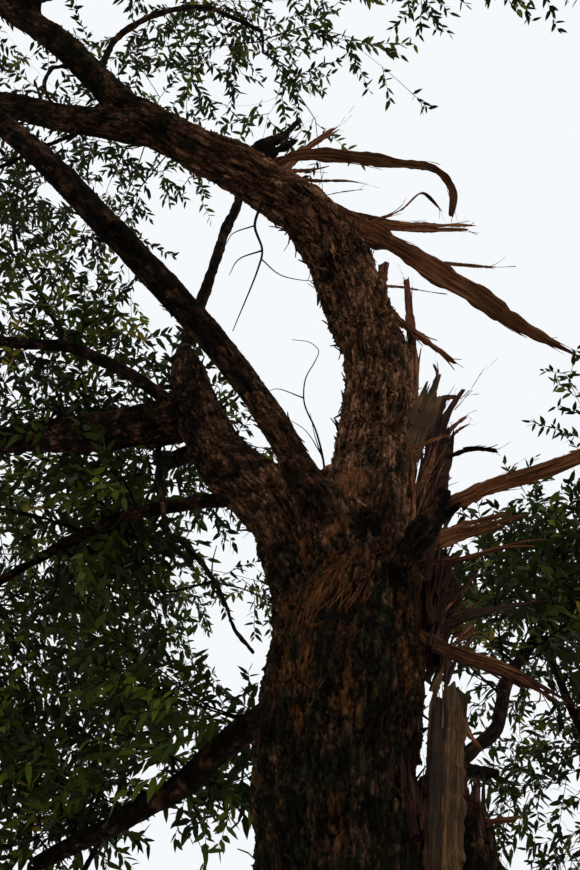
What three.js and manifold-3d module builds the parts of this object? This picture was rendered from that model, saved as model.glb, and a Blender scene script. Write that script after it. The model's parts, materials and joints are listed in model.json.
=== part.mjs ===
// A tall broadleaf tree with fibrous bark, still in leaf, whose second leader has torn away.
// The tear leaves a ragged broken trunk half, a standing slab of pale wood and long splinters
// on the right. Millimetres, +Z up, origin at the middle of the flat cut at ground level.
import * as THREE from "three";
import { mergeVertices } from "three/addons/utils/BufferGeometryUtils.js";
import Module from "manifold-3d";

const wasm = await Module();
wasm.setup();

// Driving dimensions
const GAP = 0.3; // clearance where one piece of wood meets the next
const BUTT_RADIUS = 455; // of the round butt log, above the root flare
const BUTT_TOP = 3300; // where the butt has wholly parted into the two halves
const FLARE_REACH = 210; // how far the root flare stands out at the ground
const FLARE_HEIGHT = 420; // height in which the flare dies away
const ROOT_LOBES = 6;
const COLLAR = 0.35; // how much a bough swells where it joins its parent
const LEAF_LENGTH = 700; // each leaf here stands for a whole spray
const LEAF_WIDTH = 290;
const LEAF_THICKNESS = 16;
const TARGETS_PER_MASS = 22; // twig tips, each with one spray
const TWIG_RADIUS = 8; // of the thinnest twig
const FORKS = [0.45, 0.8]; // where along a twig others leave it, as shares of its length
const TURNS = 6; // ways that a leaf is tried round its twig
const PIPE_POWER = 2.3; // a twig's radius to this power is the sum of those it carries

const BARK = { color: 0x5a4636, roughness: 0.95, metalness: 0 };
const TORN_WOOD = { color: 0x8a4a2a, roughness: 0.85, metalness: 0 };
const PALE_WOOD = { color: 0xb39a7a, roughness: 0.8, metalness: 0 };
const FOLIAGE = { color: 0x3d5a24, roughness: 0.7, metalness: 0 };

// The boughs. Each is a start point and legs of [length, heading, rise], in millimetres and
// degrees: heading 0 is +X and 90 is +Y, and rise is above the horizon. foot and tip are radii.
const BOUGHS = {
  leader_lower: {
    start: [-10, 0, 5850],
    legs: [[480, -52, 82], [450, -50, 75], [450, -69, 83], [470, -151, 77], [370, -134, 70]],
    foot: 150, tip: 168, sides: 12, collar: 0.3,
  },
  leader_upper: {
    start: [-45, -320, 8005],
    legs: [[300, -141, 35], [320, -154, 21], [470, -167, 30], [440, -169, 33]],
    foot: 142, tip: 112, sides: 12, collar: 0.18,
  },
  leader_high: {
    start: [-1235, -765, 8800],
    legs: [[650, -160, 50], [640, 179, 54], [1420, 174, 61], [640, -167, 61]],
    foot: 84, tip: 58, sides: 8, collar: 0.2,
  },
  leader_low: {
    start: [-1135, -745, 8595],
    legs: [[530, 171, 28], [580, 166, 41], [1030, 153, 41], [950, 158, 34]],
    foot: 90, tip: 50, sides: 8, collar: 0.2,
  },
  left_bough: {
    start: [-90, 10, 5950],
    legs: [[500, 178, 54], [550, 163, 60], [430, 176, 70], [530, 166, 81]],
    foot: 172, tip: 98, sides: 10, collar: 0,
  },
  left_outer_bough: {
    start: [-730, 95, 7145],
    legs: [[460, 147, 21], [370, 150, 23], [620, 149, 28], [790, 151, 18]],
    foot: 128, tip: 52, sides: 8, collar: 0.1,
  },
  left_side_bough: {
    start: [-860, 110, 7180],
    legs: [[430, -179, 44], [480, 167, 43], [620, 157, 35], [760, 167, 45]],
    foot: 36, tip: 24, sides: 8,
  },
  left_inner_bough: {
    start: [-890, 140, 7620],
    legs: [[630, 7, 82], [740, 22, 82], [580, 34, 81], [1390, 117, 75]],
    foot: 34, tip: 24, sides: 8,
  },
  front_bough: {
    start: [-140, -150, 6065],
    legs: [[510, -128, 41], [390, -137, 37], [370, -141, 32], [380, -148, 39]],
    foot: 68, tip: 64, sides: 8, collar: 0.2,
  },
  front_outer_bough: {
    start: [-1100, -1015, 7060],
    legs: [[490, -152, 42], [520, -170, 49], [1200, -162, 47], [870, -151, 43]],
    foot: 64, tip: 40, sides: 8, collar: 0,
  },
  left_low_bough: {
    start: [-430, 80, 6510],
    legs: [[580, 148, 22], [290, 157, 8], [350, 139, 13], [610, 140, 6]],
    foot: 38, tip: 24, sides: 8,
  },
  back_left_bough: {
    start: [-90, 210, 5350],
    legs: [[430, 142, 18], [630, 129, -1], [540, 132, 6], [570, 133, 8]],
    foot: 72, tip: 42, sides: 8,
  },
  back_right_bough: {
    start: [90, 120, 4640],
    legs: [[700, 29, 53], [220, 36, 50], [390, 53, 65], [710, 61, 51], [1240, 65, 48], [890, 51, 44]],
    foot: 46, tip: 28, sides: 8,
  },
  back_bough: {
    start: [-680, 120, 6900],
    legs: [[700, 118, 40], [800, 104, 45], [900, 96, 30]],
    foot: 74, tip: 40, sides: 8,
  },
  arch_bough: {
    start: [-1400, -830, 9065],
    legs: [[520, -12, 80], [360, 0, 53], [350, 11, 38], [450, 35, 23]],
    foot: 22, tip: 13, sides: 7,
  },
  crown_right_bough: {
    start: [-2000, -905, 9830],
    legs: [[620, -60, 58], [900, -28, 44], [1000, 0, 40]],
    foot: 58, tip: 30, sides: 8,
  },
  crown_top_bough: {
    start: [-2080, -895, 9970],
    legs: [[700, 42, 64], [900, 20, 66]],
    foot: 58, tip: 30, sides: 8,
  },
  right_low_bough: {
    start: [1060, 1260, 6640],
    legs: [[700, 68, -5], [350, 60, -10]],
    foot: 26, tip: 18, sides: 6,
  },
  front_top_bough: {
    start: [-1860, -905, 9630],
    legs: [[700, -82, 45], [700, -95, 35], [500, -100, 25]],
    foot: 58, tip: 30, sides: 8,
  },
};

// The torn wood. width and thick are the section's, turned so that its flat side looks along
// face. prongs are the strips that its end splits into, each a share of the whole length.
const SPLINTERS = {
  torn_limb: {
    start: [50, -20, 5690], legs: [[340, -63, 9], [210, -26, 48], [90, 2, 56]],
    width: 130, thick: 110, face: [0, -0.8, -0.6], prongs: [1], blunt: 0.8, material: BARK,
  },
  torn_plate_low: {
    start: [235, 205, 5590], legs: [[310, -42, 62], [220, -57, 65]],
    width: 235, thick: 60, face: [0.3, -1, -0.4], prongs: [0.8, 1, 0.88, 0.95], split: 0.4, blunt: 0.5,
  },
  torn_plate_high: {
    start: [195, 70, 5890], legs: [[380, 2, 71], [420, -6, 79], [360, -19, 77], [280, 4, 65]],
    width: 165, thick: 55, face: [0.2, -1, -0.4], prongs: [0.79, 1, 0.9], split: 0.5, blunt: 0.35,
  },
  pale_slab: {
    start: [208, -205, 4080], legs: [[480, -45, 83], [320, -2, 83], [330, 2, 84]],
    width: 132, thick: 48, face: [0.25, -1, -0.2], prongs: [0.86, 1, 0.9], split: 0.5, blunt: 0.5,
    material: PALE_WOOD,
  },
  pale_blade: {
    start: [170, -70, 6220], legs: [[250, -54, 71], [210, -13, 72], [210, -6, 69], [280, -4, 71]],
    width: 140, thick: 28, face: [0.2, -1, -0.6], prongs: [0.84, 1, 0.9], split: 0.4, blunt: 0.15,
    material: PALE_WOOD,
  },
  torn_limb_splinter: {
    start: [335, -365, 5915], legs: [[240, -18, 15], [240, -22, 2], [270, -24, 5]],
    width: 92, thick: 44, face: [0, -0.7, -0.7], prongs: [0.82, 1], split: 0.3, blunt: 0.45,
  },
  broken_stub: {
    start: [145, -50, 4680], legs: [[215, 20, 55], [260, 48, 28], [180, 44, 22]],
    width: 62, thick: 48, face: [0, -0.7, -0.7], prongs: [1], blunt: 0.8,
  },
  red_strip: {
    start: [205, 80, 5640], legs: [[260, -22, -45], [230, -25, -39], [180, -16, -46], [240, -10, -44]],
    width: 62, thick: 22, face: [0.1, -0.8, -0.6], prongs: [0.8, 1], split: 0.3, blunt: 0.3,
  },
  dark_splinter: {
    start: [195, 85, 5590], legs: [[300, 10, 34], [330, 22, 31], [260, 22, 27]],
    width: 46, thick: 26, face: [0, -0.8, -0.6], prongs: [1], blunt: 0.06,
  },
  frayed_splinter: {
    start: [190, 0, 6000], legs: [[320, -3, 28], [180, 1, 21], [160, 4, 21]],
    width: 66, thick: 24, face: [0, -0.8, -0.6], prongs: [0.75, 1, 0.88], split: 0.3, blunt: 0.15,
  },
  thin_splinter: {
    start: [190, -18, 5940], legs: [[270, -4, 3], [160, -26, -2], [160, -24, -4]],
    width: 34, thick: 18, face: [0, -0.8, -0.6], prongs: [1], blunt: 0.1,
  },
  upright_splinter: {
    start: [210, -150, 6630], legs: [[310, -24, 74], [460, -47, 85], [490, -84, 86]],
    width: 52, thick: 30, face: [0.1, -0.8, -0.6], prongs: [0.92, 1], blunt: 0.5,
  },
  hooked_splinter: {
    start: [185, -270, 7540], legs: [[280, 8, -52], [140, 8, -47], [110, 19, -43]],
    width: 44, thick: 22, face: [0, -0.6, -0.8], prongs: [1], blunt: 0.2,
  },
  long_splinter: {
    start: [-115, -470, 8155],
    legs: [[450, 8, -34], [310, 17, -35], [200, 16, -31], [250, 22, -33], [390, 15, -30]],
    width: 104, thick: 34, face: [-0.1, -0.6, -0.8], prongs: [0.72, 1], split: 0.15, blunt: 0.05,
  },
  flat_splinter: {
    start: [-105, -470, 8205], legs: [[330, 13, -9], [270, 15, 15], [310, 10, 18]],
    width: 56, thick: 24, face: [-0.1, -0.6, -0.8], prongs: [0.92, 1], split: 0.4, blunt: 0.4,
  },
  split_arc: {
    start: [10, -400, 8005], legs: [[170, -10, 42], [240, 5, 43], [210, -7, 48], [150, 40, -26]],
    width: 22, thick: 16, face: [0, -0.6, -0.8], prongs: [1], blunt: 0.2,
  },
  peeled_strip: {
    start: [-470, -590, 8330],
    legs: [[230, -35, -6], [290, 0, 0], [250, 6, -5], [240, 13, 5], [160, 50, -12], [160, 100, -40]],
    width: 74, thick: 18, face: [0, -0.55, -0.85], prongs: [0.94, 1], split: 0.3, blunt: 0.3,
  },
  stub_blade: {
    start: [-400, -575, 8290], legs: [[310, -12, 58], [380, -4, 51]],
    width: 56, thick: 26, face: [0, -0.6, -0.8], prongs: [1], blunt: 0.5,
  },
  torn_knot: {
    start: [-570, -590, 8350], legs: [[230, -13, 58], [180, 2, 48], [220, 0, 64]],
    width: 128, thick: 80, face: [0, -0.6, -0.8], prongs: [0.8, 1], blunt: 0.3, material: BARK,
  },
  stub_twig: {
    start: [395, 75, 6716], legs: [[165, -18, 14], [50, -8, 7], [120, 4, -3]],
    width: 24, thick: 20, face: [0, -0.6, -0.8], prongs: [1], blunt: 0.7, material: BARK,
  },
};

// The masses of foliage. Each fills an ellipsoid round centre, from the tip of its bough.
const MASSES = {
  foliage_high_left: { bough: "leader_high", centre: [-3350, -1000, 12900], reach: [1500, 1500, 1300] },
  foliage_upper_left: { bough: "leader_low", centre: [-4350, 450, 11150], reach: [1350, 1450, 1150] },
  foliage_front_left: { bough: "front_outer_bough", centre: [-3850, -2250, 9900], reach: [1450, 1400, 1200] },
  foliage_front: { bough: "front_top_bough", centre: [-1900, -3200, 11050], reach: [1300, 1150, 950] },
  foliage_left: { bough: "left_outer_bough", centre: [-2950, 1550, 8250], reach: [1250, 1250, 950] },
  foliage_left_side: { bough: "left_side_bough", centre: [-2450, 650, 9550], reach: [850, 850, 750] },
  foliage_inner: { bough: "left_inner_bough", centre: [-2000, 1200, 11750], reach: [1300, 1200, 1050] },
  foliage_low_left: { bough: "left_low_bough", centre: [-1950, 1400, 6650], reach: [1050, 950, 700] },
  foliage_back_left: { bough: "back_left_bough", centre: [-2200, 2750, 5450], reach: [1200, 1200, 800] },
  foliage_back: { bough: "back_bough", centre: [-1690, 3210, 8920], reach: [1350, 1350, 1100] },
  foliage_arch: { bough: "arch_bough", centre: [-620, -100, 10900], reach: [850, 750, 560] },
  foliage_crown_right: { bough: "crown_right_bough", centre: [1150, -1230, 11850], reach: [1450, 1250, 1000] },
  foliage_top: { bough: "crown_top_bough", centre: [-900, -300, 12900], reach: [1300, 1200, 1150] },
  foliage_back_right: { bough: "back_right_bough", centre: [2300, 2750, 8300], reach: [1250, 1350, 1050] },
  foliage_right_low: { bough: "right_low_bough", centre: [1620, 2850, 6600], reach: [850, 850, 750] },
};

const UP = new THREE.Vector3(0, 0, 1);
const radians = THREE.MathUtils.degToRad;
const vector = (p) => new THREE.Vector3(...p);

// The points of a limb that starts at start and goes on by its legs.
function walk({ start, legs }) {
  const points = [vector(start)];
  for (const [length, heading, rise] of legs) {
    const flat = Math.cos(radians(rise));
    const step = new THREE.Vector3(
      flat * Math.cos(radians(heading)),
      flat * Math.sin(radians(heading)),
      Math.sin(radians(rise)),
    );
    points.push(points.at(-1).clone().addScaledVector(step, length));
  }
  return points;
}

// The solid of a closed geometry.
function solid(geometry) {
  geometry.deleteAttribute("normal");
  geometry.deleteAttribute("uv");
  const merged = mergeVertices(geometry, 1e-3);
  return new wasm.Manifold(
    new wasm.Mesh({
      numProp: 3,
      vertProperties: merged.attributes.position.array,
      triVerts: new Uint32Array(merged.index.array),
    }),
  );
}

// A cylinder bent along a route. place(t, angle) gives the section's half sizes across and
// through at t of the way, and face, where given, is the way that its thin side looks.
// grow makes it larger all round, and longer at both ends.
function bent(route, sides, steps, place, { face = null, grow = 0, pace = 1, square = false } = {}) {
  const curve = new THREE.CatmullRomCurve3(route, false, "centripetal");
  const frames = curve.computeFrenetFrames(steps);
  const shape = new THREE.CylinderGeometry(1, 1, 1, sides, steps, false, square ? Math.PI / 4 : 0);
  const points = shape.attributes.position;
  for (let i = 0; i < points.count; i++) {
    const ring = Math.round((points.getY(i) + 0.5) * steps);
    const t = Math.pow(ring / steps, pace);
    const along = frames.tangents[ring];
    const across = face ? face.clone().cross(along).normalize() : frames.normals[ring];
    const through = along.clone().cross(across);
    const angle = Math.atan2(points.getZ(i), points.getX(i));
    const [wide, deep] = place(t, angle).map((half) => half * (square ? Math.SQRT2 : 1));
    const centre = curve.getPointAt(t);
    const end = ring === 0 ? -grow : ring === steps ? grow : 0;
    centre.addScaledVector(along, end);
    centre.addScaledVector(across, points.getX(i) * (wide + 1.5 * grow));
    centre.addScaledVector(through, -points.getZ(i) * (deep + 1.5 * grow));
    points.setXYZ(i, centre.x, centre.y, centre.z);
  }
  return solid(shape);
}

// A bough: one tapering limb with a collar at its foot.
function bough({ start, legs, foot, tip, sides, collar = COLLAR }, grow) {
  const route = walk({ start, legs });
  const length = legs.reduce((sum, [leg]) => sum + leg, 0);
  const radius = (t) => {
    const swell = collar * Math.exp((-t * length) / (1.6 * foot));
    return (foot + (tip - foot) * t) * (1 + swell);
  };
  const steps = legs.length + 2;
  return bent(route, sides, steps, (t) => [radius(t), radius(t)], { grow });
}

// A splinter: strips side by side, each ending at its own share of the length. blunt is how
// wide a strip still is at its end, as a share of its width.
function splinter({ start, legs, width, thick, face, prongs, blunt, split = 0 }, grow) {
  const route = walk({ start, legs });
  const curve = new THREE.CatmullRomCurve3(route, false, "centripetal");
  const strips = prongs.map((share, k) => {
    const offset = ((k + 0.5) / prongs.length - 0.5) * 0.85 * width;
    const half = (prongs.length > 1 ? 0.62 : 0.5) * (width / prongs.length);
    const points = [];
    const steps = legs.length + 1;
    for (let i = 0; i <= steps; i++) {
      const t = (i / steps) * share;
      const across = vector(face).cross(curve.getTangentAt(t)).normalize();
      points.push(curve.getPointAt(t).addScaledVector(across, offset));
    }
    const taper = (t) => 1 - (1 - blunt) * Math.pow(Math.max(0, (t - split) / (1 - split)), 1.5);
    return bent(
      points,
      prongs.length > 1 ? 4 : 5,
      steps,
      (t) => [half * taper(t), (thick / 2) * (0.4 + 0.6 * taper(t))],
      { face: vector(face), grow, square: prongs.length > 1 },
    );
  });
  return strips.reduce((sum, strip) => sum.add(strip)).simplify(0.05);
}

// The trunk: a round butt with a root flare, which parts into the sound stem and the
// half that broke off, whose top is a crown of upright shards.
function trunk(grow) {
  const flare = (t, angle) => {
    const height = t * (BUTT_TOP + 200) - 200;
    const lobes = 0.62 + 0.38 * Math.cos(ROOT_LOBES * angle);
    const spread = FLARE_REACH * lobes * Math.exp(-Math.max(height, 0) / FLARE_HEIGHT);
    const narrowing = 100 * Math.max(0, (height - 2500) / (BUTT_TOP - 2500));
    const radius = BUTT_RADIUS - 0.012 * height - narrowing + spread;
    return [radius, radius];
  };
  const along = (radii) => (t) => {
    const place = t * (radii.length - 1);
    const i = Math.min(Math.floor(place), radii.length - 2);
    const radius = radii[i] + (radii[i + 1] - radii[i]) * (place - i);
    return [radius, radius];
  };
  const butt = bent([[0, 0, -200], [0, 0, 1500], [0, 0, BUTT_TOP]].map(vector), 24, 9, flare, { grow, pace: 2 });
  const soundStem = bent(
    [[-30, 0, 2300], [-95, 0, 3400], [-142, 0, 4430], [-94, 0, 5250], [-20, 0, 5740], [-20, 8, 6060], [-25, 10, 6330]].map(vector),
    14, 8,
    along([395, 365, 318, 294, 280, 275, 277, 290, 320, 318, 288, 225, 90]),
    { grow },
  );
  const brokenTop = 4640;
  const brokenAxis = new THREE.Vector3(176, 34, 0);
  const brokenRadius = 262;
  const brokenHalf = bent(
    [[50, 5, 2300], [130, 20, 3400], [176, 34, 4430], [180, 36, brokenTop]].map(vector),
    12, 3,
    along([395, 360, 320, 290, 272, 264, brokenRadius]),
    { grow },
  );
  // Shards round the rim of the broken half, tallest towards the sound stem.
  const shards = [];
  const shardCount = 9;
  for (let k = 0; k < shardCount; k++) {
    const angle = (k / shardCount) * 2 * Math.PI;
    const rise = 110 + 210 * Math.pow(Math.abs(Math.sin(2.3 * k + 0.7)), 1.5);
    const out = new THREE.Vector3(Math.cos(angle), Math.sin(angle), 0);
    const foot = brokenAxis.clone().addScaledVector(out, brokenRadius * 0.72).setZ(brokenTop - 200);
    const top = foot.clone().addScaledVector(out, 12).setZ(brokenTop + rise);
    shards.push(bent([foot, top], 4, 2, (t) => [92 * (1 - 0.86 * t), 46 * (1 - 0.7 * t)], { face: out, grow }));
  }
  const below = solid(new THREE.BoxGeometry(3000, 3000, 1000).translate(0, 0, -500));
  return [soundStem, brokenHalf, ...shards].reduce((sum, piece) => sum.add(piece), butt).subtract(below);
}

// A repeatable stream of numbers from 0 to 1 (a 32-bit mixing generator).
function seeded(seed) {
  let state = seed >>> 0;
  return () => {
    state = (state + 0x6d2b79f5) >>> 0;
    let t = Math.imul(state ^ (state >>> 15), 1 | state);
    t = (t + Math.imul(t ^ (t >>> 7), 61 | t)) ^ t;
    return ((t ^ (t >>> 14)) >>> 0) / 4294967296;
  };
}

// Places spread evenly through an ellipsoid, by the golden angle and a seeded depth.
function spread(centre, reach, count, random) {
  const golden = Math.PI * (3 - Math.sqrt(5));
  const places = [];
  for (let i = 0; i < count; i++) {
    const z = 1 - (2 * (i + 0.5)) / count;
    const ring = Math.sqrt(1 - z * z);
    const turn = i * golden;
    const depth = Math.pow(0.12 + 0.88 * random(), 0.45);
    places.push(new THREE.Vector3(
      centre[0] + reach[0] * depth * ring * Math.cos(turn),
      centre[1] + reach[1] * depth * ring * Math.sin(turn),
      centre[2] + reach[2] * depth * z,
    ));
  }
  return places;
}

// The least distance between two straight pieces of wood.
function apart([a, b], [c, d]) {
  let least = Infinity;
  const steps = 6;
  const point = new THREE.Vector3();
  const near = new THREE.Vector3();
  for (const [first, second] of [[[a, b], [c, d]], [[c, d], [a, b]]]) {
    const line = new THREE.Line3(...second);
    for (let i = 0; i <= steps; i++) {
      point.lerpVectors(first[0], first[1], i / steps);
      line.closestPointToPoint(point, true, near);
      least = Math.min(least, near.distanceTo(point));
    }
  }
  return least;
}

// The twigs of a mass, each with its leaf. A stem runs in from the bough's tip, and each
// place in turn, the nearest first, is reached by a twig from the point on an earlier one that
// makes the shortest way. A twig that would touch a limb, or another leaf, is left out.
function growTwigs(start, heading, { centre, reach }, random, isClear) {
  const heart = vector(centre);
  const bend = start.clone().addScaledVector(heading, 0.4 * start.distanceTo(heart));
  const twigs = [];
  const takes = (twig) => {
    const stalk = [twig.from, twig.at];
    const others = twigs.filter((other) => other !== twig.parent);
    if (twig.parent && !isClear(stalk, 30)) return false;
    if (!others.every(({ blade }) => apart(stalk, blade) > LEAF_WIDTH / 2)) return false;
    for (let attempt = 0; attempt < TURNS; attempt++) {
      const turn = 2.4 * twigs.length + (attempt * 2 * Math.PI) / TURNS;
      const tip = leafTip(twig, turn);
      const blade = [twig.at.clone().lerp(tip, 0.1), tip];
      const isFree = isClear(blade, LEAF_WIDTH / 2) && twigs.every((other) =>
        apart(blade, other.blade) > LEAF_WIDTH && apart(blade, [other.from, other.at]) > LEAF_WIDTH / 2 + 20);
      if (!isFree) continue;
      twigs.push({ ...twig, tip, turn, blade });
      return true;
    }
    return false;
  };
  [0.35, 0.55, 0.75, 0.95].some((share) =>
    takes({ from: start, at: heart.clone().lerp(bend, share), way: 0, parent: null }));
  const places = spread(centre, reach, TARGETS_PER_MASS, random);
  places.sort((p, q) => p.distanceTo(start) - q.distanceTo(start));
  for (const at of places) {
    const ways = [];
    for (const parent of twigs) {
      for (const share of FORKS) {
        const from = parent.from.clone().lerp(parent.at, share);
        const way = parent.way + from.distanceTo(parent.from);
        ways.push({ from, at, way, parent, share, cost: from.distanceTo(at) + 0.4 * way });
      }
    }
    ways.sort((p, q) => p.cost - q.cost);
    ways.slice(0, 3).some(takes);
  }
  // Each twig is as thick as what it carries asks for.
  for (const twig of twigs) twig.load = 0;
  for (const twig of twigs) for (let t = twig; t; t = t.parent) t.load += 1;
  for (const twig of twigs) {
    const pipe = TWIG_RADIUS * Math.pow(twig.load, 1 / PIPE_POWER);
    const room = twig.parent ? twig.parent.radius * (1 - 0.4 * twig.share) : pipe;
    twig.radius = Math.min(pipe, 0.55 * room);
  }
  return twigs;
}

// Where a twig's leaf ends: on from the twig, turned to one side, and drooping.
function leafTip({ from, at }, turn) {
  const along = at.clone().sub(from).normalize();
  const side = along.clone().cross(UP).normalize().applyAxisAngle(along, turn);
  const way = along.multiplyScalar(0.8).addScaledVector(side, 0.45).addScaledVector(UP, -0.3);
  return at.clone().addScaledVector(way.normalize(), LEAF_LENGTH);
}

// A three-sided twig that runs out into its leaf, a flat keeled blade. The twig's foot is at
// the middle of the one that carries it.
function sprayShape({ from, at, radius, parent, tip, turn }) {
  const along = at.clone().sub(from).normalize();
  const out = tip.clone().sub(at).normalize();
  const ring = (centre, way, wide, deep, tilt) => {
    const across = way.clone().cross(UP).normalize().applyAxisAngle(way, tilt);
    const through = way.clone().cross(across);
    return [
      centre.clone().addScaledVector(across, wide).addScaledVector(through, -deep / 2),
      centre.clone().addScaledVector(through, deep),
      centre.clone().addScaledVector(across, -wide).addScaledVector(through, -deep / 2),
    ];
  };
  const tilt = 0.8 * Math.sin(turn);
  const foot = parent ? from : from.clone().addScaledVector(along, -30);
  const end = 0.6 * radius;
  const points = [
    ...ring(foot, along, radius, radius, 0),
    ...ring(at, along, end, end, 0),
    ...ring(at.clone().lerp(tip, 0.4), out, LEAF_WIDTH / 2, LEAF_THICKNESS / 2, tilt),
    tip,
  ];
  const faces = [0, 2, 1];
  for (let r = 0; r < 9; r += 3) {
    for (let i = 0; i < 3; i++) {
      const [a, b] = [r + i, r + ((i + 1) % 3)];
      if (r < 6) faces.push(a, b, b + 3, a, b + 3, a + 3);
      else faces.push(a, b, 9);
    }
  }
  const shape = new THREE.BufferGeometry().setFromPoints(points);
  shape.setIndex(faces);
  return solid(shape);
}

// Everything made so far, each with its solid grown by the gap, to cut what joins it.
const group = new THREE.Group();
const wood = [];

// The largest body of a solid that a cut may have parted.
function largest(shape) {
  return shape.decompose().reduce((a, b) => (a.volume() > b.volume() ? a : b));
}

function boxesMeet(a, b) {
  return [0, 1, 2].every((i) => a.min[i] < b.max[i] && b.min[i] < a.max[i]);
}

// A solid cut clear of the wood that is already there.
function clearOfWood(shape) {
  const box = shape.boundingBox();
  const cut = wood.filter(({ grown }) => boxesMeet(box, grown.boundingBox()))
    .reduce((rest, { grown }) => rest.subtract(grown), shape);
  return largest(cut);
}

function show(name, shape, look) {
  const { numProp, vertProperties, triVerts } = shape.getMesh();
  const geometry = new THREE.BufferGeometry();
  const points = new Float32Array((vertProperties.length / numProp) * 3);
  for (let i = 0; i < points.length / 3; i++) points.set(vertProperties.subarray(i * numProp, i * numProp + 3), i * 3);
  geometry.setAttribute("position", new THREE.BufferAttribute(points, 3));
  geometry.setIndex(new THREE.BufferAttribute(triVerts, 1));
  geometry.computeVertexNormals();
  const mesh = new THREE.Mesh(geometry, new THREE.MeshStandardMaterial(look));
  mesh.name = name;
  group.add(mesh);
}

// Straight pieces along each limb, with their radii, for keeping twigs and leaves clear.
const guards = [];

function guard(route, radius) {
  const curve = new THREE.CatmullRomCurve3(route, false, "centripetal");
  const pieces = route.length * 2;
  const points = curve.getSpacedPoints(pieces);
  for (let i = 0; i < pieces; i++) guards.push({ line: [points[i], points[i + 1]], radius });
}

show("trunk", trunk(0), BARK);
wood.push({ grown: trunk(GAP) });
guard([[0, 0, 0], [0, 0, 3000], [0, 0, 6200]].map(vector), 480);

for (const [name, limb] of Object.entries(BOUGHS)) {
  show(name, clearOfWood(bough(limb, 0)), BARK);
  wood.push({ name, grown: bough(limb, GAP) });
  guard(walk(limb), limb.foot * 1.1);
}

for (const [name, shard] of Object.entries(SPLINTERS)) {
  show(name, clearOfWood(splinter(shard, 0)), shard.material ?? TORN_WOOD);
  wood.push({ name, grown: splinter(shard, GAP) });
  guard(walk(shard), shard.width * 0.6);
}

Object.entries(MASSES).forEach(([name, mass], index) => {
  const route = walk(BOUGHS[mass.bough]);
  const start = route.at(-1);
  const heading = start.clone().sub(route.at(-2)).normalize();
  const isClear = (line, room) => guards.every((other) => apart(line, other.line) > other.radius + room + 5);
  const twigs = growTwigs(start, heading, mass, seeded(101 + index), isClear);
  const fused = twigs.map(sprayShape).reduce((sum, spray) => sum.add(spray));
  const own = wood.find((w) => w.name === mass.bough).grown;
  const simple = largest(fused.simplify(3));
  show(name, largest(simple.subtract(own)), FOLIAGE);
  for (const { from, at, radius, blade } of twigs) {
    guards.push({ line: [from, at], radius }, { line: blade, radius: LEAF_WIDTH / 2 });
  }
});

export default group;
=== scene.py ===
"""A tall broadleaf tree, storm-torn on its right side, seen from below. Metres, +Z up, like the CAD."""

import json
import math

import bpy
import numpy as np
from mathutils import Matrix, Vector

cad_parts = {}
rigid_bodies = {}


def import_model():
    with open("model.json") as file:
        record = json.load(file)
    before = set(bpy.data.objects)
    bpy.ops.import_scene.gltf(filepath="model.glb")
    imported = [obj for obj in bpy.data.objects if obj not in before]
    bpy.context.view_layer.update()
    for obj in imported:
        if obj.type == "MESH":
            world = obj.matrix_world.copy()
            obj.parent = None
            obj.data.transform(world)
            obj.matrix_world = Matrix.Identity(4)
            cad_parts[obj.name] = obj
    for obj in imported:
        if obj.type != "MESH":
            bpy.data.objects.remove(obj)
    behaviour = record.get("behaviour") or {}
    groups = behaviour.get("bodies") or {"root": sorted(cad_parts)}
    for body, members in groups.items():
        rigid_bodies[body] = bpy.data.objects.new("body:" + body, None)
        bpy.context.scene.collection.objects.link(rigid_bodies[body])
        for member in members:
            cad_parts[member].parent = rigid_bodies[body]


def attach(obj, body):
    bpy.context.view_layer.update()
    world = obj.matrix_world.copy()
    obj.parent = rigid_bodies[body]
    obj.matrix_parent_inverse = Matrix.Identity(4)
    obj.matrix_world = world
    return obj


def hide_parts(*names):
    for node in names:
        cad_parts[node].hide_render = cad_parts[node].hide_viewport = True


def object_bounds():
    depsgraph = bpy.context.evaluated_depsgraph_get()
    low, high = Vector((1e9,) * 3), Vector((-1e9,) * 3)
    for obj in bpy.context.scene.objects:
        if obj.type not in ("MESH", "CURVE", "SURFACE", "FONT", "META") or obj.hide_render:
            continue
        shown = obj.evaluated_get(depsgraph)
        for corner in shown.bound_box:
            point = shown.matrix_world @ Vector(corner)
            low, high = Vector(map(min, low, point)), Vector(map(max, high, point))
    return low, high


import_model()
cad_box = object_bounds()


# The point of view: 4.4 m in front of the trunk, at standing height, and tilted 50 degrees
# up along the trunk, so that the fork fills the middle of the frame.
EYE, TILT = (-0.3, -4.4, 1.6), math.radians(90 + 50)
SENSOR_WIDTH, LENS = 36, 57.93  # millimetres
bpy.ops.object.select_all(action="DESELECT")
bpy.ops.object.camera_add(location=EYE, rotation=(TILT, 0, 0))
camera = bpy.context.object
camera.data.sensor_width = SENSOR_WIDTH
camera.data.lens = LENS
camera.data.clip_end = 300
bpy.context.scene.camera = camera


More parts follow.
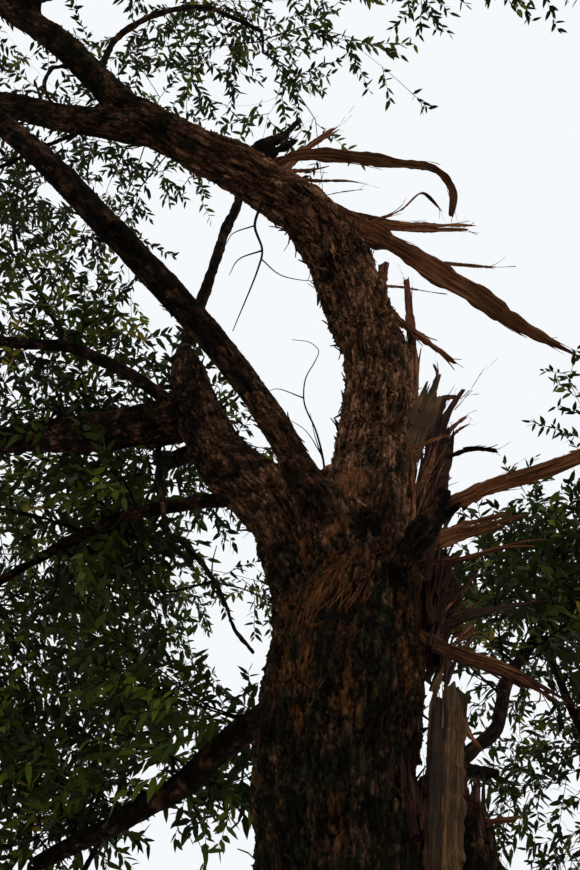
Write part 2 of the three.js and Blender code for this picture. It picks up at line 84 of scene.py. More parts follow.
# The trunk and main limbs: sound living wood under furrowed, fibrous bark. Each limb is a
# straight round blank, cut into rings and bent along its route with its own taper. The blanks
# are then grown together, so that the crotches are filleted as living wood fills them.
LIMBS = {  # millimetres and degrees: start, legs of [length, heading, rise], radii and collar
    "leader_lower": ([-10, 0, 5850], [[480, -52, 82], [450, -50, 75], [450, -69, 83],
                     [470, -151, 77], [370, -134, 70]], 150, 168, 0.3),
    "leader_upper": ([-45, -320, 8005], [[300, -141, 35], [320, -154, 21], [470, -167, 30],
                     [440, -169, 33]], 142, 112, 0.18),
    "leader_high": ([-1235, -765, 8800], [[650, -160, 50], [640, 179, 54], [1420, 174, 61],
                    [640, -167, 61]], 84, 58, 0.2),
    "leader_low": ([-1135, -745, 8595], [[530, 171, 28], [580, 166, 41], [1030, 153, 41],
                   [950, 158, 34]], 90, 50, 0.2),
    "left_bough": ([-90, 10, 5950], [[500, 178, 54], [550, 163, 60], [430, 176, 70],
                   [530, 166, 81]], 172, 98, 0),
    "left_outer_bough": ([-730, 95, 7145], [[460, 147, 21], [370, 150, 23], [620, 149, 28],
                         [790, 151, 18]], 128, 52, 0.1),
    "front_bough": ([-140, -150, 6065], [[510, -128, 41], [390, -137, 37], [370, -141, 32],
                    [380, -148, 39]], 68, 64, 0.2),
    "front_outer_bough": ([-1100, -1015, 7060], [[490, -152, 42], [520, -170, 49],
                          [1200, -162, 47], [870, -151, 43]], 64, 40, 0),
}
FILLETS = {  # wood that fills the fork: millimetres along each, and radii
    "left shoulder": ([[-120, 5, 5450], [-170, 8, 5850], [-320, 18, 6280], [-470, 45, 6520]],
                      [262, 222, 180, 140]),
    "right shoulder": ([[-20, 0, 5300], [40, -30, 5900], [75, -90, 6350], [100, -135, 6750]],
                       [268, 236, 178, 140]),
    "crotch web": ([[-70, -90, 5900], [-85, -140, 6200], [-105, -150, 6400]], [170, 125, 62]),
    "front collar": ([[-110, -80, 5700], [-170, -180, 6080], [-290, -330, 6270]], [190, 118, 78]),
}
BUTT_RADIUS, FLARE_REACH, FLARE_HEIGHT, ROOT_LOBES = 0.455, 0.21, 0.42, 6  # metres, number
BUTT_FOOT, BUTT_TOP, BUTT_TAPER = -0.2, 3.3, 0.012  # metres, and metres of radius for each
ROOT_RUN = [(0.32, 1.1), (0.35, 0.6), (0.41, 0.28), (0.49, 0.05), (0.55, -0.2)]  # out, up
ROOT_RADII = [80, 120, 135, 130, 110]
STEM = [[-30, 0, 2300], [-95, 0, 3400], [-142, 0, 4430], [-94, 0, 5250], [-20, 0, 5740],
        [-20, 8, 6060], [-25, 10, 6330]]
STEM_RADII = [395, 365, 318, 294, 280, 275, 277, 290, 320, 318, 288, 225, 90]
BROKEN_HALF = [[50, 5, 2300], [130, 20, 3400], [176, 34, 4430], [180, 36, 4640]]
BROKEN_RADII = [395, 360, 320, 290, 272, 264, 262]
BARK_CELL, BUTT_CELL = 0.0085, 0.0125  # the grids in which the blanks grow together
BOARD_SQUARENESS, TORN_SHARE = 0.65, 0.4  # how square a board's edges are, and its torn end
GRAIN_SHIFT = 7.3  # sets each blank's grain apart from its neighbours'
COLLAR_REACH = 1.6  # how far a collar runs up a limb, in radii of its foot


def choose(*objects):
    """Selects these objects alone and makes the last one active."""
    bpy.ops.object.select_all(action="DESELECT")
    for one in objects:
        one.select_set(True)
    bpy.context.view_layer.objects.active = objects[-1]


def walk(start, legs):
    """The corners of a route in metres, from millimetres and degrees."""
    corners = [np.array(start, float) / 1000]
    for length, heading, rise in legs:
        h, r = math.radians(heading), math.radians(rise)
        way = np.array([math.cos(r) * math.cos(h), math.cos(r) * math.sin(h), math.sin(r)])
        corners.append(corners[-1] + way * length / 1000)
    return np.array(corners)


def smooth(corners, count):
    """Points evenly spaced along the centripetal Catmull-Rom curve through the corners."""
    corners = np.asarray(corners, float)
    ends = [2 * corners[0] - corners[1]], [2 * corners[-1] - corners[-2]]
    run = np.vstack([ends[0], corners, ends[1]])

    def at(t):
        place = np.clip(t, 0, 1) * (len(corners) - 1)
        i = np.minimum(place.astype(int), len(corners) - 2)
        w = (place - i)[:, None]
        p0, p1, p2, p3 = run[i], run[i + 1], run[i + 2], run[i + 3]
        d0, d1, d2 = (np.maximum(np.linalg.norm(b - a, axis=1), 1e-8)[:, None] ** 0.5
                      for a, b in ((p0, p1), (p1, p2), (p2, p3)))
        t1 = ((p1 - p0) / d0 - (p2 - p0) / (d0 + d1) + (p2 - p1) / d1) * d1
        t2 = ((p2 - p1) / d1 - (p3 - p1) / (d1 + d2) + (p3 - p2) / d2) * d1
        c2, c3 = -3 * p1 + 3 * p2 - 2 * t1 - t2, 2 * p1 - 2 * p2 + t1 + t2
        return p1 + t1 * w + c2 * w ** 2 + c3 * w ** 3

    table = at(np.linspace(0, 1, 201))
    lengths = np.concatenate([[0], np.cumsum(np.linalg.norm(np.diff(table, axis=0), axis=1))])
    shares = np.interp(np.linspace(0, lengths[-1], count), lengths, np.linspace(0, 1, 201))
    return at(shares)


def length_of(line):
    return float(np.linalg.norm(np.diff(line, axis=0), axis=1).sum())


def bent_blank(name, line, radii, sides, rings, flat=None, face=None, ragged=None, shade=1.0):
    """A straight cylinder on +X, cut into rings, then bent along the line by a Curve modifier
    whose radii give it its taper. flat makes it a board this thick for its width, whose broad
    side looks along face. ragged gives how far each corner of its end is torn back, in metres.
    It keeps where each point lay in the straight wood, for the grain, how thick it was, and
    how light its wood is."""
    length = length_of(line)
    bpy.ops.object.select_all(action="DESELECT")
    bpy.ops.mesh.primitive_cylinder_add(vertices=sides, radius=1, depth=length,
                                        location=(length / 2, 0, 0), rotation=(0, math.pi / 2, 0))
    piece = bpy.context.object
    piece.name = name
    bpy.ops.object.transform_apply(location=True, rotation=True, scale=False)
    mesh = piece.data
    bpy.ops.object.mode_set(mode="EDIT")
    bpy.ops.mesh.select_mode(type="EDGE")
    bpy.ops.mesh.select_all(action="DESELECT")
    bpy.ops.object.mode_set(mode="OBJECT")
    along = np.array([mesh.vertices[v].co.x for edge in mesh.edges for v in edge.vertices])
    along = along.reshape(-1, 2)
    mesh.edges.foreach_set("select", np.abs(along[:, 0] - along[:, 1]) > 1e-5)
    bpy.ops.object.mode_set(mode="EDIT")
    bpy.ops.mesh.subdivide(number_cuts=max(1, rings - 1))
    bpy.ops.mesh.select_all(action="DESELECT")
    bpy.ops.object.mode_set(mode="OBJECT")
    straight = np.zeros(len(mesh.vertices) * 3)
    mesh.vertices.foreach_get("co", straight)
    straight = straight.reshape(-1, 3)
    if flat:
        square = np.abs(straight[:, 1:]) ** BOARD_SQUARENESS
        straight[:, 1:] = np.sign(straight[:, 1:]) * square * (1, flat)
    if ragged is not None:
        corner = np.round(np.arctan2(straight[:, 2], straight[:, 1]) / (2 * math.pi) * sides)
        corner = corner.astype(int) % sides
        torn = (straight[:, 0] - (1 - TORN_SHARE) * length) / (TORN_SHARE * length)
        torn = np.clip(torn, 0, 1) ** 2
        straight[:, 0] -= torn * ragged[corner]
    mesh.vertices.foreach_set("co", straight.ravel())
    thick = np.interp(straight[:, 0] / length, np.linspace(0, 1, len(radii)), radii)
    grain = straight * np.c_[np.ones(len(thick)), thick, thick]
    grain = grain + (GRAIN_SHIFT * line[0, 2], 0, 0)
    lightness = np.full(len(thick), shade)
    mesh.attributes.new("grain", "FLOAT_VECTOR", "POINT").data.foreach_set("vector", grain.ravel())
    mesh.attributes.new("girth", "FLOAT", "POINT").data.foreach_set("value", thick)
    mesh.attributes.new("shade", "FLOAT", "POINT").data.foreach_set("value", lightness)
    route = bpy.data.curves.new("route", "CURVE")
    route.dimensions = "3D"
    route.twist_mode = "MINIMUM" if face is None else "Z_UP"
    points = route.splines.new("POLY").points
    points.add(len(line) - 1)
    points.foreach_set("co", np.c_[line, np.ones(len(line))].ravel())
    points.foreach_set("radius", np.interp(np.linspace(0, 1, len(line)),
                                           np.linspace(0, 1, len(radii)), radii))
    if face is not None:
        tangent = np.gradient(line, axis=0)
        tangent /= np.linalg.norm(tangent, axis=1)[:, None]
        side = np.cross((0, 0, 1), tangent)
        side /= np.linalg.norm(side, axis=1)[:, None]
        up = np.cross(tangent, side)
        looks = np.array(face, float)
        points.foreach_set("tilt", np.unwrap(np.arctan2(-side @ looks, up @ looks)))
    guide = bpy.data.objects.new("route", route)
    bpy.context.scene.collection.objects.link(guide)
    choose(piece)
    bpy.ops.object.modifier_add(type="CURVE")
    piece.modifiers[-1].object = guide
    piece.modifiers[-1].deform_axis = "POS_X"
    bpy.ops.object.modifier_apply(modifier=piece.modifiers[-1].name)
    bpy.data.objects.remove(guide)
    bpy.data.curves.remove(route)
    return piece


def limb_radii(foot, tip, collar, length, count=60):
    """A limb's radii in metres: a steady taper, with a collar where it leaves its parent."""
    t = np.linspace(0, 1, count)
    swell = collar * np.exp(-t * length * 1000 / (COLLAR_REACH * foot))
    return (foot + (tip - foot) * t) * (1 + swell) / 1000


def joined(name, pieces):
    """One object of several."""
    choose(*pieces)
    bpy.ops.object.join()
    whole = bpy.context.object
    whole.name = whole.data.name = name
    return whole


def finished(piece, kind, **settings):
    """Adds a modifier with its settings and applies it."""
    choose(piece)
    bpy.ops.object.modifier_add(type=kind)
    for key, value in settings.items():
        setattr(piece.modifiers[-1], key, value)
    bpy.ops.object.modifier_apply(modifier=piece.modifiers[-1].name)


def node(tree, kind, sockets=None, **settings):
    """Adds a node with its settings; sockets maps an input to a value or to what feeds it."""
    made = tree.nodes.new(kind)
    for key, value in settings.items():
        setattr(made, key, value)
    for key, value in (sockets or {}).items():
        if isinstance(value, bpy.types.Node):
            value = value.outputs[0]
        if isinstance(value, bpy.types.NodeSocket):
            tree.links.new(value, made.inputs[key])
        else:
            made.inputs[key].default_value = value
    return made


blanks = []
for name, (start, legs, foot, tip, collar) in LIMBS.items():
    line = smooth(walk(start, legs), 70)
    radii = limb_radii(foot, tip, collar, length_of(line))
    if name == "left_bough":  # it ended in a broken stub that has healed over
        radii = radii * np.interp(np.linspace(0, 1, len(radii)),
                                  [0, 0.8, 0.92, 1], [1, 1, 0.72, 0.3])
    blanks.append(bent_blank(name, line, radii, sides=28, rings=60))
height = np.linspace(BUTT_FOOT, BUTT_TOP, 60)
narrowing = 0.1 * np.maximum(0, (height - 2.5) / 0.8)  # where the two halves part
flare = 0.24 * FLARE_REACH * np.exp(-np.maximum(height, 0) / FLARE_HEIGHT)
blanks.append(bent_blank("butt", smooth([[0, 0, BUTT_FOOT], [0, 0, 1.5], [0, 0, BUTT_TOP]], 60),
                         BUTT_RADIUS - BUTT_TAPER * height - narrowing + flare, sides=40, rings=50))
blanks.append(bent_blank("stem", smooth(np.array(STEM) / 1000, 90),
                         np.array(STEM_RADII) / 1000, sides=36, rings=60))
blanks.append(bent_blank("half", smooth(np.array(BROKEN_HALF) / 1000, 60),
                         np.array(BROKEN_RADII) / 1000, sides=36, rings=40))
for name, (corners, radii) in FILLETS.items():
    blanks.append(bent_blank(name, smooth(np.array(corners) / 1000, 40),
                             np.array(radii) / 1000, sides=28, rings=40))
for k in range(ROOT_LOBES):  # a root swelling under each lobe of the flare
    turn = math.radians(30) + 2 * math.pi * k / ROOT_LOBES
    out = np.array([math.cos(turn), math.sin(turn), 0])
    corners = [out * reach + (0, 0, z) for reach, z in ROOT_RUN]
    blanks.append(bent_blank("root", smooth(corners, 40),
                             np.array(ROOT_RADII) / 1000, sides=20, rings=24))


# The bark's relief: thick fibrous bark that split into long plates as the wood under it
# grew. It is pressed into the mesh itself, so the furrows show in the outline of each limb.
def bark_relief(name, source=None, depth=0.027, wander=0.0, size=1.0, run=1.0):
    """Geometry nodes that press bark into a limb: broad swells, long furrows between plates,
    and small flakes, all running with the grain. source gives the grain of a grown-together
    limb; without it the limb keeps its own. size and run scale the plates and their length."""
    tree = bpy.data.node_groups.new(name, "GeometryNodeTree")
    tree.interface.new_socket("Geometry", in_out="INPUT", socket_type="NodeSocketGeometry")
    tree.interface.new_socket("Geometry", in_out="OUTPUT", socket_type="NodeSocketGeometry")
    shape = node(tree, "NodeGroupInput").outputs[0]
    grain = node(tree, "GeometryNodeInputNamedAttribute", {"Name": "grain"}, data_type="FLOAT_VECTOR")
    girth = node(tree, "GeometryNodeInputNamedAttribute", {"Name": "girth"}, data_type="FLOAT")
    if source:
        wood = node(tree, "GeometryNodeObjectInfo", {"Object": source}, transform_space="ORIGINAL")
        wood = wood.outputs["Geometry"]
        for attribute, kind in ((grain, "FLOAT_VECTOR"), (girth, "FLOAT")):
            near = node(tree, "GeometryNodeSampleNearestSurface",
                        {"Mesh": wood, "Value": attribute}, data_type=kind)
            label = attribute.inputs["Name"].default_value
            shape = node(tree, "GeometryNodeStoreNamedAttribute",
                         {"Geometry": shape, "Name": label, "Value": near}, data_type=kind,
                         domain="POINT")
            shape = shape.outputs[0]

    # Noise whose spots are this many millimetres across and along the grain: deep furrows,
    # fine furrows and flakes.
    layers = []
    for across, along, detail, shift in ((62, 330, 3.0, 0.0), (26, 150, 3.0, 11.0),
                                         (16, 76, 4.0, 23.0)):
        across, along = 1000 / across / size, 1000 / along / size / run
        spot = node(tree, "ShaderNodeVectorMath", {0: grain, 1: (along, across, across)},
                    operation="MULTIPLY")
        spot = node(tree, "ShaderNodeVectorMath", {0: spot, 1: (shift, shift, shift)},
                    operation="ADD")
        layers.append(node(tree, "ShaderNodeTexNoise", {
            "Vector": spot, "Scale": 1.0, "Detail": detail, "Roughness": 0.68, "Distortion": 0.9}))
    # A furrow runs where the noise is at its middle: 0 there, and 1 on the plates beside it.
    furrowed = []
    for layer, width, share in ((layers[0], 0.08, 0.45), (layers[1], 0.1, 0.4)):
        off = node(tree, "ShaderNodeMath", {0: layer, 1: 0.5}, operation="SUBTRACT")
        off = node(tree, "ShaderNodeMath", {0: off}, operation="ABSOLUTE")
        off = node(tree, "ShaderNodeMapRange", {"Value": off, 2: width},
                   interpolation_type="SMOOTHSTEP")
        furrowed.append(node(tree, "ShaderNodeMath", {0: off, 1: share}, operation="MULTIPLY"))
    relief = node(tree, "ShaderNodeMath", {0: furrowed[0], 1: furrowed[1]}, operation="ADD")
    flakes = node(tree, "ShaderNodeMath", {0: layers[2], 1: 0.5}, operation="SUBTRACT")
    relief = node(tree, "ShaderNodeMath", {0: relief, 1: flakes}, operation="ADD")
    # Broad swells about 400 mm across, and lumps about 110 mm across.
    place = node(tree, "GeometryNodeInputPosition")
    swells = []
    for scale, detail, rise in ((2.4, 1.0, 0.075), (9.0, 2.0, 1.5 * depth)):
        swell = node(tree, "ShaderNodeTexNoise", {"Vector": place, "Scale": scale, "Detail": detail})
        swell = node(tree, "ShaderNodeMath", {0: swell, 1: 0.5}, operation="SUBTRACT")
        swells.append(node(tree, "ShaderNodeMath", {0: swell, 1: rise}, operation="MULTIPLY"))
    swell = node(tree, "ShaderNodeMath", {0: swells[0], 1: swells[1]}, operation="ADD")
    # A thin limb has room for less of it.
    room = node(tree, "ShaderNodeMapRange", {"Value": girth, 1: 0.03, 2: 0.19, 3: 0.16},
                interpolation_type="SMOOTHSTEP")
    out = node(tree, "ShaderNodeMath", {0: relief, 1: 0.55}, operation="SUBTRACT")
    out = node(tree, "ShaderNodeMath", {0: out, 1: depth}, operation="MULTIPLY")
    out = node(tree, "ShaderNodeMath", {0: out, 1: swell}, operation="ADD")
    out = node(tree, "ShaderNodeMath", {0: out, 1: room}, operation="MULTIPLY")
    normal = node(tree, "GeometryNodeInputNormal")
    offset = node(tree, "ShaderNodeVectorMath", {0: normal, "Scale": out}, operation="SCALE")
    if wander:
        drift = node(tree, "ShaderNodeTexNoise", {"Vector": place, "Scale": 3.1, "Detail": 2.0})
        drift = node(tree, "ShaderNodeVectorMath", {0: drift.outputs["Color"], 1: (0.5, 0.5, 0.5)},
                     operation="SUBTRACT")
        drift = node(tree, "ShaderNodeVectorMath", {0: drift, "Scale": wander}, operation="SCALE")
        offset = node(tree, "ShaderNodeVectorMath", {0: offset, 1: drift}, operation="ADD")
    shape = node(tree, "GeometryNodeStoreNamedAttribute",
                 {"Geometry": shape, "Name": "relief", "Value": relief},
                 data_type="FLOAT", domain="POINT")
    shape = node(tree, "GeometryNodeSetPosition", {"Geometry": shape.outputs[0], "Offset": offset})
    node(tree, "NodeGroupOutput", {0: shape})
    return tree


def sliced(piece, height, keep_above):
    """Cuts a solid level at this height, drops one side and closes the cut."""
    choose(piece)
    bpy.ops.object.mode_set(mode="EDIT")
    bpy.ops.mesh.select_all(action="SELECT")
    bpy.ops.mesh.bisect(plane_co=(0, 0, height), plane_no=(0, 0, 1), use_fill=True,
                        clear_inner=keep_above, clear_outer=not keep_above)
    bpy.ops.object.mode_set(mode="OBJECT")
    return piece


def twin(piece, name):
    """A copy with its own mesh."""
    other = piece.copy()
    other.data = piece.data.copy()
    other.name = other.data.name = name
    bpy.context.scene.collection.objects.link(other)
    return other


def grown_together(name, cell, rounds, height, above):
    """The blanks on one side of a height as one skin with filleted crotches and bark relief.
    A blank that crosses the height is cut and closed by itself, so that it stays a solid."""
    parts = []
    for blank in blanks:
        level = [v.co.z for v in blank.data.vertices]
        if (max(level) > height) if above else (min(level) < height):
            part = twin(blank, name)
            if min(level) < height < max(level):
                sliced(part, height, above)
            parts.append(part)
    skin = joined(name, parts)
    finished(skin, "REMESH", mode="VOXEL", voxel_size=cell, use_smooth_shade=True)
    finished(skin, "SMOOTH", factor=0.5, iterations=rounds)
    finished(skin, "NODES", node_group=bark_relief(name + " relief", source=wood))
    return skin


PARTED = 2.9, 4.7, 6.45, 8.1  # heights at which the skin is cut into pieces
LAP = 0.25  # how far past a cut the skin is grown, so that both sides of it meet
wood = joined("wood", [twin(blank, "wood") for blank in blanks])
butt_bark = grown_together("butt_bark", BUTT_CELL, 18, PARTED[0] + LAP, False)
sliced(sliced(butt_bark, 0, True), PARTED[0], False)
bark = sliced(grown_together("bark", BARK_CELL, 38, PARTED[0] - LAP, True), PARTED[0], True)
for blank in [*blanks, wood]:
    bpy.data.objects.remove(blank)
stem_bark = sliced(twin(bark, "stem_bark"), PARTED[1], False)
fork_bark = sliced(sliced(twin(bark, "fork_bark"), PARTED[1], True), PARTED[2], False)
choose(sliced(bark, PARTED[2], True))
bpy.ops.mesh.separate(type="LOOSE")
limbs = sorted(bpy.context.selected_objects, key=lambda one: min(v.co.x for v in one.data.vertices))
leader_bark = max(limbs, key=lambda one: max(v.co.x for v in one.data.vertices))
front_bark = min(limbs, key=lambda one: min(v.co.y for v in one.data.vertices))
left_bark = [one for one in limbs if one not in (leader_bark, front_bark)][0]
leader_bark.name, front_bark.name, left_bark.name = "leader_bark", "front_bark", "left_bark"
high_bark = sliced(twin(leader_bark, "high_bark"), PARTED[3], True)
sliced(leader_bark, PARTED[3], False)


# The bark's surface: dry dead cork that never shines, weathered to charcoal and moss on the
# trunk, and warm and fresh on the leader, where old plates have come away. The trunk's dark
# colours also carry painted shade.
def linear(code):
    """A linear colour from an sRGB hex value."""
    parts = [int(code[i:i + 2], 16) / 255 for i in (1, 3, 5)]
    return (*(p / 12.92 if p <= 0.04045 else ((p + 0.055) / 1.055) ** 2.4 for p in parts), 1)


def bark_finish(name, cool, warm, coal, rust, rusty, rough=0.022):
    """Dry, rough, fibrous bark that never shines: dark in the furrows and paler on the worn
    ridges, cool and mossy or warm and freshly flaked. Old weathered bark lies over it in
    charcoal patches, and rusty ones show where flakes came away. Torn wood shows where it is
    bare, and cork where a knot came off. Painted shade darkens the hollows, the crotches and
    the broken half's stump."""
    made = bpy.data.materials.new(name)
    made.use_nodes = True
    tree = made.node_tree
    tree.nodes.clear()
    grain = node(tree, "ShaderNodeAttribute", attribute_name="grain").outputs["Vector"]
    place = node(tree, "ShaderNodeTexCoord").outputs["Object"]
    masks = {attribute: node(tree, "ShaderNodeAttribute", attribute_name=attribute).outputs["Fac"]
             for attribute in ("relief", "warmth", "rust", "bare", "scar", "hollow")}
    patterns = []
    for where, scale, detail, roughness, distortion in (
            (grain, (11, 190, 190), 5.0, 0.7, 0.0),  # fibres 5 mm wide and 90 mm long; finer are lost
            (grain, (20, 82, 82), 7.0, 0.78, 0.9),  # flakes 12 mm wide and 50 mm long, down to crumbs
            (place, (8, 8, 8), 5.0, 0.7, 0.0),  # patches 125 mm across, where cool bark turns warm
            (grain, (7, 12, 12), 6.0, 0.72, 0.0),  # charcoal patches 80 mm wide and 140 mm long
            (place, (7, 7, 5), 7.0, 0.8, 0.0),  # rusty patches 140 mm wide and 200 mm high
            (place, (3.3, 3.3, 3.3), 3.0, 0.7, 0.0)):  # weathered and fresh stretches 300 mm long
        run = node(tree, "ShaderNodeVectorMath", {0: where, 1: scale}, operation="MULTIPLY")
        patterns.append(node(tree, "ShaderNodeTexNoise", {
            "Vector": run, "Scale": 1.0, "Detail": detail, "Roughness": roughness,
            "Distortion": distortion}))
    fibre, flake, patch, char, stain, stretch = patterns
    # The tone rises from the furrows to the ridges, by the pressed relief and the flakes.
    tone = node(tree, "ShaderNodeMath", {0: flake, 1: 1.7}, operation="MULTIPLY")
    tone = node(tree, "ShaderNodeMath", {0: tone, 1: masks["relief"]}, operation="ADD")
    tone = node(tree, "ShaderNodeMapRange", {"Value": tone, 1: 0.85, 2: 1.95})
    ramps = []
    for furrow, plate, ridge in (cool, warm):
        ramp = node(tree, "ShaderNodeValToRGB", {"Fac": tone})
        stops = ramp.color_ramp.elements
        stops[0].position, stops[0].color = 0.0, linear(furrow)
        stops[1].position, stops[1].color = 1.0, linear(ridge)
        stops.new(0.5).color = linear(plate)
        ramps.append(ramp.outputs["Color"])
    warmth = node(tree, "ShaderNodeMapRange", {"Value": patch, 1: 0.35, 2: 0.65, 3: -0.45, 4: 0.45})
    warmth = node(tree, "ShaderNodeMath", {0: masks["warmth"], 1: warmth},
                  operation="ADD", use_clamp=True)
    colour = node(tree, "ShaderNodeMix", {0: warmth, 6: ramps[0], 7: ramps[1]},
                  data_type="RGBA").outputs[2]
    # Old bark and rust are laid over it, each darker in the furrows than on the ridges. More
    # rust shows where the bark has parted into strings.
    old = node(tree, "ShaderNodeMapRange", {"Value": char, 1: 0.5, 2: 0.6, 4: 0.85})
    fresh = node(tree, "ShaderNodeMapRange",
                 {"Value": stain, 1: 0.66 - 0.3 * rusty, 2: 0.76 - 0.3 * rusty})
    fresh = node(tree, "ShaderNodeMath", {0: fresh, 1: masks["rust"]},
                 operation="ADD", use_clamp=True)
    ridge = node(tree, "ShaderNodeMapRange", {"Value": tone, 1: 0.2, 2: 0.7, 3: 0.1, 4: 0.9})
    fresh = node(tree, "ShaderNodeMath", {0: fresh, 1: ridge}, operation="MULTIPLY")
    for weight, coat, low, high, darkest, lightest in ((old, coal, 0.0, 1.0, 0.4, 2.3),
                                                       (fresh, rust, 0.1, 0.9, 0.25, 1.5)):
        light = node(tree, "ShaderNodeMapRange",
                     {"Value": tone, 1: low, 2: high, 3: darkest, 4: lightest})
        coat = node(tree, "ShaderNodeVectorMath", {0: linear(coat)[:3], "Scale": light},
                    operation="SCALE")
        colour = node(tree, "ShaderNodeMix", {0: weight, 6: colour, 7: coat},
                      data_type="RGBA").outputs[2]
    # Fibres darken or lighten it by a third or more, and so do the weathered stretches.
    for pattern, low, high, darkest, lightest in ((fibre, 0.3, 0.7, 0.6, 1.35),
                                                  (stretch, 0.36, 0.62, 0.55, 1.25)):
        light = node(tree, "ShaderNodeMapRange",
                     {"Value": pattern, 1: low, 2: high, 3: darkest, 4: lightest})
        colour = node(tree, "ShaderNodeVectorMath", {0: colour, "Scale": light}, operation="SCALE")
    for attribute, low, high, pattern in (("bare", "#120804", "#45260f", fibre),
                                          ("scar", "#2a150c", "#9c6642", flake)):
        torn = node(tree, "ShaderNodeValToRGB", {"Fac": pattern})
        stops = torn.color_ramp.elements
        stops[0].position, stops[0].color = 0.35, linear(low)
        stops[1].position, stops[1].color = 0.7, linear(high)
        colour = node(tree, "ShaderNodeMix", {0: masks[attribute], 6: colour, 7: torn},
                      data_type="RGBA").outputs[2]
    # Painted shade: the colour is darkened, down to a fifth, in the hollows and crotches and on the
    # broken half's stump.
    light = node(tree, "ShaderNodeMapRange", {"Value": masks["hollow"], 3: 1.0, 4: 0.2})
    colour = node(tree, "ShaderNodeVectorMath", {0: colour, "Scale": light}, operation="SCALE")
    bumps = node(tree, "ShaderNodeMath", {0: fibre, 1: 0.8}, operation="MULTIPLY")
    bumps = node(tree, "ShaderNodeMath", {0: flake, 1: bumps}, operation="ADD")
    bump = node(tree, "ShaderNodeBump", {"Height": bumps, "Strength": 1.0, "Distance": rough})
    shader = node(tree, "ShaderNodeBsdfPrincipled", {"Base Color": colour, "Roughness": 0.95,
                                                     "Specular IOR Level": 0.03, "Normal": bump})
    node(tree, "ShaderNodeOutputMaterial", {"Surface": shader})
    return made


def dressed(piece, finish, slot, *nodes):
    """Gives a finished piece its material, its body and the CAD nodes it stands for."""
    piece.data.materials.clear()
    piece.data.materials.append(finish)
    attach(piece, "root")
    if nodes:
        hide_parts(*nodes)


WARM = ("#110a06", "#5b3d2a", "#b58464")
# The trunk's cool colours are about a quarter darker than its bark: painted shade, for the trunk below
# the fork lies under the crown and faces away from the light.
trunk_finish = bark_finish("fibrous trunk bark", ("#050402", "#15120a", "#372e19"), WARM, "#12150d",
                           "#523219", 0.13)
bough_finish = bark_finish("dark bough bark", ("#040302", "#110c07", "#2a1f14"), WARM, "#0e0d08",
                           "#2e190c", 0.15, rough=0.012)


# The torn side of the stem is bare from where the lost half parted up to the fork, and cork
# shows at the leader's foot where a knot came off. The bark turns from cool and mossy on the
# trunk to warm, freshly flaked bark on the leader, and back to dark in the crown.
def masked(piece, name, values):
    """Gives each point of a piece its value of a named measure."""
    piece.data.attributes.new(name, "FLOAT", "POINT").data.foreach_set("value", values)


def points_of(piece):
    co = np.empty(len(piece.data.vertices) * 3)
    piece.data.vertices.foreach_get("co", co)
    return co.reshape(-1, 3)


def normals_of(piece):
    out = np.empty(len(piece.data.vertices) * 3)
    piece.data.vertex_normals.foreach_get("vector", out)
    return out.reshape(-1, 3)


def waves(points, scale, seed):
    """A cheap smooth unevenness from -1 to 1: sines of seeded directions."""
    draw = np.random.default_rng(seed)
    total = np.zeros(len(points))
    for k in range(6):
        way = draw.normal(size=3)
        way *= scale * (1 + 0.5 * k) / np.linalg.norm(way)
        total += np.sin(points @ way + draw.uniform(0, 6.28)) / 6
    return total


FOCAL, MIDDLE = 1400, (290, 435)  # pixels of the photograph, for what is placed by it


def seen(pixel, *skins):
    """Where the ray through a pixel of the photograph first meets the bark, and the bark's
    facing there."""
    eye = camera.location
    way = Vector(((pixel[0] - MIDDLE[0]) / FOCAL, (MIDDLE[1] - pixel[1]) / FOCAL, -1))
    way = camera.rotation_euler.to_matrix() @ way
    hits = [skin.ray_cast(eye, way) for skin in skins]
    _, place, facing, _ = min((hit for hit in hits if hit[0]), key=lambda hit: (hit[1] - eye).length)
    return np.array(place), np.array(facing)


def eased(values, low, high):
    t = np.clip((values - low) / (high - low), 0, 1)
    return t * t * (3 - 2 * t)


KNOT_PIXEL, KNOT_REACH = (351, 482), np.array([0.1, 0.16, 0.115])
# Places round which painted shade darkens the bark: hollows, crotches and the torn limb's foot.
SHADED_PIXELS = [((298, 702), 0.055), ((335, 262), 0.12), ((322, 505), 0.09), ((372, 395), 0.06),
           ((372, 520), 0.1), ((357, 600), 0.08), ((340, 340), 0.04)]  # pixel and reach in metres
BARE_FACING, BARE_FROM, BARE_TO = 0.72, 4.6, 6.0  # how far it faces the torn side, and heights
STUMP_SIDE, STUMP_FROM, STUMP_TORN, STUMP_TO = 0.16, 4.3, 4.5, 4.8  # the broken half's top
WARM_FROM, WARM_TO = 5.4, 6.85  # heights between which the bark turns warm
CROWN_FROM, CROWN_TO = 0.35, 1.2  # and how far to the left it turns dark again
bpy.context.view_layer.update()
knot = seen(KNOT_PIXEL, fork_bark)[0]
shade_centres = [(seen(pixel, stem_bark, fork_bark, leader_bark)[0], reach) for pixel, reach in SHADED_PIXELS]
